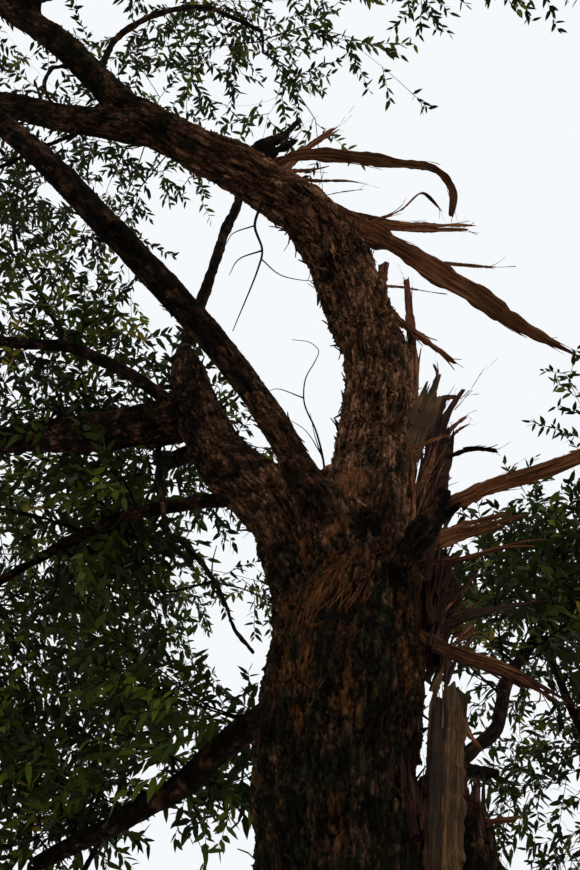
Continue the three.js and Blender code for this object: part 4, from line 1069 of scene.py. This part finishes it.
def shards(name, middle, reach, count, lengths, lean, widths, seed):
    """A field of pointed slivers, four-sided and slightly bowed, that stand on one place."""
    draw = np.random.default_rng(seed)
    turn, out = draw.uniform(0, 2 * math.pi, count), draw.uniform(0, 1, count) ** 0.5
    foot = np.array(middle) + np.stack([out * np.cos(turn) * reach[0], out * np.sin(turn) * reach[1],
                                        draw.uniform(-1, 1, count) * reach[2]], axis=1)
    stray = 0.09 + 0.3 * lean
    way = np.stack([lean + stray * draw.normal(size=count), stray * draw.normal(size=count),
                    np.ones(count)], axis=1)
    way /= np.linalg.norm(way, axis=1)[:, None]
    length = draw.uniform(0, 1, (count, 1)) ** 1.6 * (lengths[1] - lengths[0]) + lengths[0]
    wide = draw.uniform(*widths, (count, 1)) / 2
    face = draw.uniform(0, math.pi, count)
    side = np.stack([np.cos(face), np.sin(face), np.zeros(count)], axis=1)
    back = np.cross(way, side)
    bow = draw.normal(size=(count, 3)) * 0.05 * length
    rows = []
    # From its foot to its point: how far along, and how broad.
    for share, breadth in ((0, 1.0), (0.35, 0.95), (0.7, 0.7), (0.9, 0.4), (1, 0.08)):
        middle_of_row = foot + way * length * share + bow * share ** 2
        for a, b in ((-1, -0.4), (1, -0.4), (1, 0.4), (-1, 0.4)):
            rows.append(middle_of_row + (side * a + back * b) * wide * breadth)
    corners = np.stack(rows, axis=1).reshape(-1, 3) / 1000
    faces = [(0, 2, 1), (0, 3, 2), (16, 17, 18), (16, 18, 19)]
    for r in range(0, 16, 4):
        for i in range(4):
            a, b = r + i, r + (i + 1) % 4
            faces += [(a, b, b + 4), (a, b + 4, a + 4)]
    faces = np.array(faces)[None] + 20 * np.arange(count)[:, None, None]
    piece = mesh_piece(name, corners, faces.reshape(-1, 3), [])
    straight = np.c_[corners[:, 2], corners[:, :2]]
    grain = piece.data.attributes.new("grain", "FLOAT_VECTOR", "POINT")
    grain.data.foreach_set("vector", straight.ravel())
    masked(piece, "shade", np.repeat(draw.uniform(0.5, 1.2, count), 20))
    return piece


for seed, (name, spec) in enumerate(SHARD_FIELDS.items()):
    dressed(shards(name, *spec[:-1], 700 + seed), spec[-1], "torn_wood")


# The foliage: lance-shaped leaves, alternate on thin drooping twigs. Every mass grows on from
# its bough's tip by the same rule as the solids, and each of their sprays is then carried on
# into side twigs and single leaves of true size.
MASSES = {  # bough, middle, reach, and how leafy it is
    "foliage_high_left": ("leader_high", [-3350, -1000, 12900], [1500, 1500, 1300], 1.4),
    "foliage_upper_left": ("leader_low", [-4350, 450, 11150], [1350, 1450, 1150], 1.0),
    "foliage_front_left": ("front_outer_bough", [-3850, -2250, 9900], [1450, 1400, 1200], 1.8),
    "foliage_front": ("front_top_bough", [-1900, -3200, 11050], [1300, 1150, 950], 1.7),
    "foliage_left": ("left_outer_bough", [-2950, 1550, 8250], [1250, 1250, 950], 0.95),
    "foliage_left_side": ("left_side_bough", [-2450, 650, 9550], [850, 850, 750], 0.8),
    "foliage_inner": ("left_inner_bough", [-2000, 1200, 11750], [1300, 1200, 1050], 0.5),
    "foliage_low_left": ("left_low_bough", [-1950, 1400, 6650], [1050, 950, 700], 1.4),
    "foliage_back_left": ("back_left_bough", [-2200, 2750, 5450], [1200, 1200, 800], 1.2),
    "foliage_back": ("back_bough", [-1690, 3210, 8920], [1350, 1350, 1100], 0.9),
    "foliage_arch": ("arch_bough", [-620, -100, 10900], [850, 750, 560], 0.36),
    "foliage_crown_right": ("crown_right_bough", [1150, -1230, 11850], [1450, 1250, 1000], 1.7),
    "foliage_top": ("crown_top_bough", [-900, -300, 12900], [1300, 1200, 1150], 0.65),
    "foliage_back_right": ("back_right_bough", [2300, 2750, 8300], [1250, 1350, 1050], 0.95),
    "foliage_right_low": ("right_low_bough", [1620, 2850, 6600], [850, 850, 750], 0.85),
}
SPRAY_LENGTH, SPRAY_WIDTH, TARGETS, FORKS, TURNS = 700, 290, 22, (0.45, 0.8), 6  # as in the solids
TWIG_RADIUS, PIPE_POWER, CLEARANCE = 8, 2.3, 5
TRUNK_ROUTE, TRUNK_ROOM = [[0, 0, 0], [0, 0, 3000], [0, 0, 6200]], 480  # kept free of twigs
NEXT_TURN = 2.4  # radians round a twig from each shoot or leaf to the next, as wood grows
NEARLY_UP = (0.1, 0.05, 1)  # a little off upright, so that an upright twig has a side too
ROUTES = {name: (spec[0], spec[1]) for name, spec in {**LIMBS, **BOUGHS}.items()}
ORDER = ["leader_lower", "leader_upper", "leader_high", "leader_low", "left_bough",
         "left_outer_bough", "left_side_bough", "left_inner_bough", "front_bough",
         "front_outer_bough", "left_low_bough", "back_left_bough", "back_right_bough",
         "back_bough", "arch_bough", "crown_right_bough", "crown_top_bough",
         "right_low_bough", "front_top_bough"]


def seeded(seed):
    """A repeatable stream of numbers from 0 to 1, the same as the solids'."""
    state = seed

    def draw():
        nonlocal state
        state = (state + 0x6D2B79F5) & 0xFFFFFFFF
        t = ((state ^ (state >> 15)) * (1 | state)) & 0xFFFFFFFF
        t = ((t + (((t ^ (t >> 7)) * (61 | t)) & 0xFFFFFFFF)) & 0xFFFFFFFF) ^ t
        return ((t ^ (t >> 14)) & 0xFFFFFFFF) / 4294967296
    return draw


def spread(centre, reach, count, random):
    golden = math.pi * (3 - math.sqrt(5))
    places = []
    for i in range(count):
        z = 1 - 2 * (i + 0.5) / count
        ring = math.sqrt(1 - z * z)
        depth = (0.12 + 0.88 * random()) ** 0.45
        places.append(np.array([centre[0] + reach[0] * depth * ring * math.cos(i * golden),
                                centre[1] + reach[1] * depth * ring * math.sin(i * golden),
                                centre[2] + reach[2] * depth * z]))
    return places


def unit(v):
    return v / np.linalg.norm(v)


def turned(v, axis, angle):
    return (v * math.cos(angle) + np.cross(axis, v) * math.sin(angle)
            + axis * (axis @ v) * (1 - math.cos(angle)))


def apart(a, b, starts, ends):
    """The least distances between one straight piece of wood and many others."""
    shares = np.linspace(0, 1, 7)[:, None, None]
    way = b - a
    points = starts + (ends - starts) * shares
    t = np.clip(((points - a) @ way) / (way @ way), 0, 1)[..., None]
    near = np.linalg.norm(points - (a + t * way), axis=2).min(axis=0)
    own = a + way * np.linspace(0, 1, 7)[:, None, None]
    ways = ends - starts
    t = ((own - starts) * ways).sum(2) / np.maximum((ways * ways).sum(1), 1e-9)
    t = np.clip(t, 0, 1)[..., None]
    far = np.linalg.norm(own - (starts + t * ways), axis=2).min(axis=0)
    return np.minimum(near, far)


def spray_tip(begin, at, turn):
    along = unit(at - begin)
    side = turned(unit(np.cross(along, (0, 0, 1))), along, turn)
    return at + unit(along * 0.8 + side * 0.45 + np.array([0, 0, -0.3])) * SPRAY_LENGTH


guards = [[], [], []]


def guard(route, radius):
    points = smooth(route, 2 * len(route) + 1)
    for a, b in zip(points[:-1], points[1:]):
        guards[0].append(a)
        guards[1].append(b)
        guards[2].append(radius)


def grow_twigs(start, heading, centre, reach, random):
    """Each place in the mass, the nearest first, is reached by a twig from the point on an
    earlier one that makes the shortest way, if it stays clear of wood and other leaves."""
    heart = np.array(centre, float)
    bend = start + heading * 0.4 * np.linalg.norm(heart - start)
    solid_a, solid_b, solid_r = (np.array(part, float) for part in guards)
    twigs = []

    def clear(a, b, room):
        return bool((apart(a, b, solid_a, solid_b) > solid_r + room + CLEARANCE).all())

    def takes(begin, at, way, parent, share):
        if parent is not None and not clear(begin, at, 30):
            return False
        others = [t for t in twigs if t is not parent]
        if others and not (apart(begin, at, np.array([t["blade"][0] for t in others]),
                                 np.array([t["blade"][1] for t in others])) > SPRAY_WIDTH / 2).all():
            return False
        for attempt in range(TURNS):
            turn = NEXT_TURN * len(twigs) + attempt * 2 * math.pi / TURNS
            tip = spray_tip(begin, at, turn)
            first = at + (tip - at) * 0.1
            free = clear(first, tip, SPRAY_WIDTH / 2)
            if free and twigs:
                blades = [np.array([t["blade"][i] for t in twigs]) for i in (0, 1)]
                stalks = [np.array([t[key] for t in twigs]) for key in ("begin", "at")]
                free = (apart(first, tip, *blades) > SPRAY_WIDTH).all() and \
                    (apart(first, tip, *stalks) > SPRAY_WIDTH / 2 + 20).all()
            if free:
                twigs.append({"begin": begin, "at": at, "way": way, "parent": parent, "share": share,
                              "tip": tip, "turn": turn, "blade": (first, tip)})
                return True
        return False

    for share in (0.35, 0.55, 0.75, 0.95):
        if takes(start, heart + (bend - heart) * share, 0, None, 0):
            break
    places = spread(centre, reach, TARGETS, random)
    places.sort(key=lambda p: float(np.linalg.norm(p - start)))
    for at in places:
        ways = []
        for parent in twigs:
            for share in FORKS:
                begin = parent["begin"] + (parent["at"] - parent["begin"]) * share
                way = parent["way"] + float(np.linalg.norm(begin - parent["begin"]))
                cost = float(np.linalg.norm(begin - at)) + 0.4 * way
                ways.append((cost, len(ways), begin, way, parent, share))
        ways.sort(key=lambda w: w[:2])
        for _, _, begin, way, parent, share in ways[:3]:
            if takes(begin, at, way, parent, share):
                break
    for twig in twigs:
        twig["load"] = 0
    for twig in twigs:
        up = twig
        while up is not None:
            up["load"] += 1
            up = up["parent"]
    for twig in twigs:
        pipe = TWIG_RADIUS * twig["load"] ** (1 / PIPE_POWER)
        room = pipe
        if twig["parent"] is not None:
            room = twig["parent"]["radius"] * (1 - 0.4 * twig["share"])
        twig["radius"] = min(pipe, 0.55 * room)
    return twigs


guard(np.array(TRUNK_ROUTE, float), TRUNK_ROOM)
for name in ORDER:
    start, legs = ROUTES[name]
    guard(walk(start, legs) * 1000, {**LIMBS, **BOUGHS}[name][2] * 1.1)
for start, legs, width, *_ in SPLINTERS.values():
    guard(walk(start, legs) * 1000, width * 0.6)


def rod(points, radii):
    """A three-sided twig through these points: its corners and triangles."""
    points, radii = np.asarray(points, float), np.asarray(radii, float)
    way = np.gradient(points, axis=0)
    way /= np.linalg.norm(way, axis=1)[:, None]
    side = np.cross(way, (0.3, 0.2, 0.93))
    side /= np.linalg.norm(side, axis=1)[:, None]
    back = np.cross(way, side)
    turns = np.array([0, 2.094, 4.189])
    ring = side[:, None] * np.cos(turns)[:, None] + back[:, None] * np.sin(turns)[:, None]
    corners = (points[:, None] + ring * radii[:, None, None]).reshape(-1, 3)
    faces = []
    for r in range(0, 3 * (len(points) - 1), 3):
        for i in range(3):
            a, b = r + i, r + (i + 1) % 3
            faces += [(a, b, b + 3), (a, b + 3, a + 3)]
    last = 3 * (len(points) - 1)
    return corners, np.array(faces + [(0, 2, 1), (last, last + 1, last + 2)])


def leaf_finish(name, colour):
    """A living leaf: a thin waxy skin, half matt, over plain green."""
    made = bpy.data.materials.new(name)
    made.use_nodes = True
    tree = made.node_tree
    tree.nodes.clear()
    place = node(tree, "ShaderNodeTexCoord").outputs["Object"]
    # Ripples between the side veins, drawn at 12 mm so that they show.
    ripple = node(tree, "ShaderNodeTexNoise", {"Vector": place, "Scale": 80.0, "Detail": 1.0})
    bump = node(tree, "ShaderNodeBump", {"Height": ripple, "Strength": 0.4, "Distance": 0.003})
    dry = node(tree, "ShaderNodeMapRange", {"Value": ripple, 3: 0.42, 4: 0.62})
    shader = node(tree, "ShaderNodeBsdfPrincipled", {"Base Color": linear(colour), "Roughness": dry,
                                                     "Specular IOR Level": 0.07, "Normal": bump})
    node(tree, "ShaderNodeOutputMaterial", {"Surface": shader})
    return made


GREENS = [leaf_finish("shaded green leaf", "#1b2208"), leaf_finish("dark green leaf", "#262e0c"),
          leaf_finish("green leaf", "#35400f"), leaf_finish("young green leaf", "#535d1a"),
          leaf_finish("yellowing leaf", "#7d6f24")]
DEALT = [0.27, 0.36, 0.25, 0.107, 0.013]  # the share of side twigs with each
LEAF_LENGTHS, SHADE_LEAF, SUN_LEAF = (0.048, 0.1), 1.1, 0.95  # leaves in the shade grow larger
LEAF_BREADTHS, LEAF_DROOPS, LEAF_SPACING = (0.29, 0.38), (0.05, 0.3), 0.021  # shares, and metres
SPRAY_TWIGS, STALK_TWIGS, TWIG_LENGTHS = 9, 6, (0.26, 0.5)  # side twigs, and metres
SHOOT_LENGTHS, SHOOT_RADIUS = (500, 1000), 7  # millimetres
SHOOTS = {  # leafy shoots along a bough itself: how many, and between which shares of it
    "foliage_back_left": (13, 0.2, 1.0), "foliage_low_left": (8, 0.3, 1.0),
    "foliage_left": (7, 0.35, 1.0), "foliage_left_side": (5, 0.3, 1.0),
    "foliage_back": (6, 0.4, 1.0), "foliage_back_right": (15, 0.25, 1.0),
    "foliage_right_low": (5, 0.2, 1.0), "foliage_crown_right": (9, 0.5, 1.0),
}
LEAF_OUTLINE = np.array([[0, 0, 0], [0.28, 0.5, 0], [0.28, -0.5, 0], [0.66, 0.38, 0],
                         [0.66, -0.38, 0], [1, 0, 0]])
LEAF_FACES = np.array([[0, 2, 1], [1, 2, 4], [1, 4, 3], [3, 4, 5]])


def leaves(bases, ways, lengths, draw):
    """Drooping lance-shaped leaves from these bases, each along its own way."""
    n = len(bases)
    way = ways / np.linalg.norm(ways, axis=1)[:, None]
    side = np.cross(way, draw.normal(size=(n, 3)) * 0.6 + (0, 0, 1))
    side /= np.linalg.norm(side, axis=1)[:, None]
    along = LEAF_OUTLINE[:, 0]
    width = lengths * draw.uniform(*LEAF_BREADTHS, n)
    droop = lengths * draw.uniform(*LEAF_DROOPS, n)
    corners = (bases[:, None] + way[:, None] * (along[:, None] * lengths[:, None, None])
               + side[:, None] * (LEAF_OUTLINE[:, 1][:, None] * width[:, None, None])
               - np.array([0, 0, 1.0]) * ((along ** 2)[:, None] * droop[:, None, None]))
    faces = LEAF_FACES[None] + 6 * np.arange(n)[:, None, None]
    return corners.reshape(-1, 3), faces.reshape(-1, 3)


CROWN_PAST = 0.12  # how far a side twig may reach past the solids, in metres
CROWN_LOW, CROWN_HIGH = np.array(cad_box[0]) - CROWN_PAST, np.array(cad_box[1]) + CROWN_PAST
OPEN_BOUGHS = {"left_low_bough": 1.0, "back_left_bough": 1.0, "left_side_bough": 1.0,
               "left_outer_bough": 0.5, "back_right_bough": 0.4}  # seen bare for this share of them
THIN_PLACES = [((110, 762), (60, 36), 0.5), ((205, 850), (60, 32), 0.5), ((225, 640), (38, 60), 0.35),
               ((428, 690), (14, 52), 1.0), ((300, 330), (62, 130), 1.0)]  # middle, reach, share
BARE_MARGIN, BARE_SHARE = 9, 0.9  # pixels beside a bare bough, and the twigs that stay out


def pixel_of(points):
    """Where points in metres fall in the photograph, and how far away they are."""
    own = np.asarray(points) - np.array(camera.location)
    own = own @ np.array(camera.rotation_euler.to_matrix())
    away = np.maximum(-own[..., 2], 0.01)
    across = MIDDLE[0] + FOCAL * own[..., 0] / away
    down = MIDDLE[1] - FOCAL * own[..., 1] / away
    return np.stack([across, down, away], axis=-1)


bare_wood = []
for name, share in OPEN_BOUGHS.items():
    line = smooth(walk(*ROUTES[name]), 60)[:int(60 * share)]
    girth = np.linspace(*{**LIMBS, **BOUGHS}[name][2:4], 60)[:len(line)] / 1000
    spots = pixel_of(line)
    bare_wood.append(np.c_[spots, FOCAL * girth / spots[:, 2]])
bare_wood = np.concatenate(bare_wood)


def open_there(side, draw):
    """Whether a side twig stays out: few hang before the boughs that are seen bare, and few
    grow where the crown is thin."""
    spots = pixel_of(side[1:])
    apart_by = np.linalg.norm(spots[:, None, :2] - bare_wood[:, :2], axis=2) - bare_wood[:, 3]
    before = ((apart_by < BARE_MARGIN) & (spots[:, None, 2] < bare_wood[:, 2])).any()
    chance = BARE_SHARE if before else 0.0
    for middle, reach, share in THIN_PLACES:
        if np.linalg.norm((spots[1, :2] - middle) / np.array(reach)) < 1:
            chance = max(chance, share)
    return draw.uniform() < chance


def finer(twig, leafy, draw):
    """Carries one spray of the solids to side twigs and leaves, within the same reach."""
    begin, at, tip = twig["begin"] / 1000, twig["at"] / 1000, twig["tip"] / 1000
    rods, bases, ways, tints = [], [], [], []
    axis = np.linspace(0, 0.78, 6)[:, None]
    sag = 0.05 * np.sin(axis * math.pi) * (0, 0, 1)
    spine = at + (tip - at) * axis + sag
    rods.append((spine, np.linspace(0.6 * twig["radius"] / 1000, 0.0022, 6)))
    feet = [(spine, s) for s in np.linspace(0.05, 1, round(SPRAY_TWIGS * leafy))]
    stalk = np.array([begin, at])
    feet += [(stalk, s) for s in np.linspace(0.3, 0.97, round(STALK_TWIGS * leafy))]
    for k, (line, share) in enumerate(feet):
        place = share * (len(line) - 1)
        i = min(int(place), len(line) - 2)
        foot = line[i] + (line[i + 1] - line[i]) * (place - i)
        ahead = unit(line[i + 1] - line[i])
        turn = NEXT_TURN * k + draw.uniform(-0.5, 0.5)
        out = turned(unit(np.cross(ahead, NEARLY_UP)), ahead, turn)
        way = unit(ahead * draw.uniform(0.5, 1.1) + out * 0.85 + (0, 0, draw.uniform(-0.35, 0.1)))
        reach = draw.uniform(*TWIG_LENGTHS) * (1.15 - 0.6 * share if line is spine else 1.0)
        t = np.linspace(0, 1, 4)[:, None]
        side = foot + way * reach * t - np.array([0, 0, 1]) * (0.16 * reach * t ** 2)
        outside = (side[-1] < CROWN_LOW).any() or (side[-1] > CROWN_HIGH).any()
        if outside or open_there(side, draw):
            continue
        rods.append((side, np.linspace(0.003, 0.0012, 4)))
        count = int(reach / LEAF_SPACING)
        shares = np.clip(np.linspace(0.12, 1, count) + draw.normal(size=count) * 0.02, 0.1, 1)
        place = shares * 3
        i = np.minimum(place.astype(int), 2)
        spot = side[i] + (side[i + 1] - side[i]) * (place - i)[:, None]
        ahead = side[i + 1] - side[i]
        ahead /= np.linalg.norm(ahead, axis=1)[:, None]
        turn = NEXT_TURN * np.arange(count) + draw.uniform(0, 6.28)
        across = np.cross(ahead, NEARLY_UP)
        across /= np.linalg.norm(across, axis=1)[:, None]
        upward = np.cross(across, ahead)
        aside = across * np.cos(turn)[:, None] + 0.5 * upward * np.sin(turn)[:, None]
        bases.append(spot)
        tints.append(np.full(count, draw.choice(len(GREENS), p=DEALT)))
        ways.append(ahead * draw.uniform(0.2, 0.9, (count, 1))
                    + aside * draw.uniform(0.5, 1.1, (count, 1))
                    + np.array([0, 0, -1]) * draw.uniform(-0.2, 0.45, (count, 1))
                    + 0.25 * draw.normal(size=(count, 3)))
    return rods, np.concatenate(bases), np.concatenate(ways), np.concatenate(tints)


def shoots(route, count, first, last, draw):
    """Leafy shoots from the upper side of the bough's own wood, in the form of the twigs."""
    line = smooth(route, 60)
    made = []
    for k in range(count):
        i = int((first + (last - first) * draw.uniform()) * 58)
        ahead = unit(line[i + 1] - line[i])
        turn = NEXT_TURN * k + draw.uniform(-0.5, 0.5)
        out = turned(unit(np.cross(ahead, NEARLY_UP)), ahead, turn)
        out *= 1 if out[2] > -0.1 else -1
        way = unit(0.6 * ahead + out + (0, 0, 0.15)) * draw.uniform(*SHOOT_LENGTHS)
        made.append({"begin": line[i], "at": line[i] + 0.4 * way, "tip": line[i] + way,
                     "radius": SHOOT_RADIUS})
    return made


for index, (name, (bough_name, centre, reach, leafy)) in enumerate(MASSES.items()):
    start, legs = ROUTES[bough_name]
    route = walk(start, legs) * 1000
    heading = unit(route[-1] - route[-2])
    twigs = grow_twigs(route[-1], heading, centre, reach, seeded(101 + index))
    for twig in twigs:
        for first, last, radius in ((twig["begin"], twig["at"], twig["radius"]),
                                    (*twig["blade"], SPRAY_WIDTH / 2)):
            guards[0].append(first)
            guards[1].append(last)
            guards[2].append(radius)
    draw = np.random.default_rng(900 + index)
    if name in SHOOTS:
        twigs = twigs + shoots(route, *SHOOTS[name], draw)
    sticks, blades, dealt, base = [], [], [], 0
    stick_faces, blade_faces, blade_base = [], [], 0
    for twig in twigs:
        rods = [(np.linspace(twig["begin"], twig["at"], 5) / 1000
                 + 0.02 * np.sin(np.linspace(0, math.pi, 5))[:, None] * draw.normal(size=3),
                 np.linspace(1, 0.6, 5) * twig["radius"] / 1000)]
        more, bases, ways, tints = finer(twig, leafy, draw)
        for line, radii in rods + more:
            corners, faces = rod(line, radii)
            sticks.append(corners)
            stick_faces.append(faces + base)
            base += len(corners)
        grown = np.interp(bases[:, 2], [5, 10], [SHADE_LEAF, SUN_LEAF])
        corners, faces = leaves(bases, ways, draw.uniform(*LEAF_LENGTHS, len(bases)) * grown, draw)
        blades.append(corners)
        blade_faces.append(faces + blade_base)
        blade_base += len(corners)
        dealt.append(np.repeat(tints, len(LEAF_FACES)))
    twig_piece = mesh_piece(name + "_twigs", np.concatenate(sticks), np.concatenate(stick_faces),
                            [bough_finish])
    leaf_piece = mesh_piece(name + "_leaves", np.concatenate(blades), np.concatenate(blade_faces),
                            GREENS, np.concatenate(dealt))
    for piece in (twig_piece, leaf_piece):
        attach(piece, "root")
        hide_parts(name)


# The studio: a plain pale floor, a pale backdrop all round, and one broad soft light from the
# front right and above, as the lit face of the leader shows.
FLOOR_SIZE = 44
LAMP_PLACE, LAMP_TURN = (4, -6, 14), (math.radians(38), math.radians(18), 0)
bpy.ops.object.select_all(action="DESELECT")
bpy.ops.mesh.primitive_plane_add(size=FLOOR_SIZE, location=(0, 0, 0))
floor = bpy.context.object
floor.name = "floor"
pale = bpy.data.materials.new("plain pale floor")
pale.use_nodes = True
painted = pale.node_tree.nodes["Principled BSDF"].inputs
painted["Base Color"].default_value = linear("#b0aea8")
painted["Roughness"].default_value = 0.9
floor.data.materials.append(pale)
world = bpy.data.worlds.new("pale backdrop")
bpy.context.scene.world = world
world.use_nodes = True
backdrop = world.node_tree.nodes["Background"].inputs
backdrop["Color"].default_value = (0.92, 0.945, 0.97, 1)
backdrop["Strength"].default_value = 1.0
bpy.ops.object.light_add(type="SUN", location=LAMP_PLACE, rotation=LAMP_TURN)
lamp = bpy.context.object
lamp.data.energy = 1.3
lamp.data.angle = math.radians(25)
lamp.data.color = (1.0, 0.93, 0.84)
bpy.context.scene.view_settings.view_transform = "Standard"
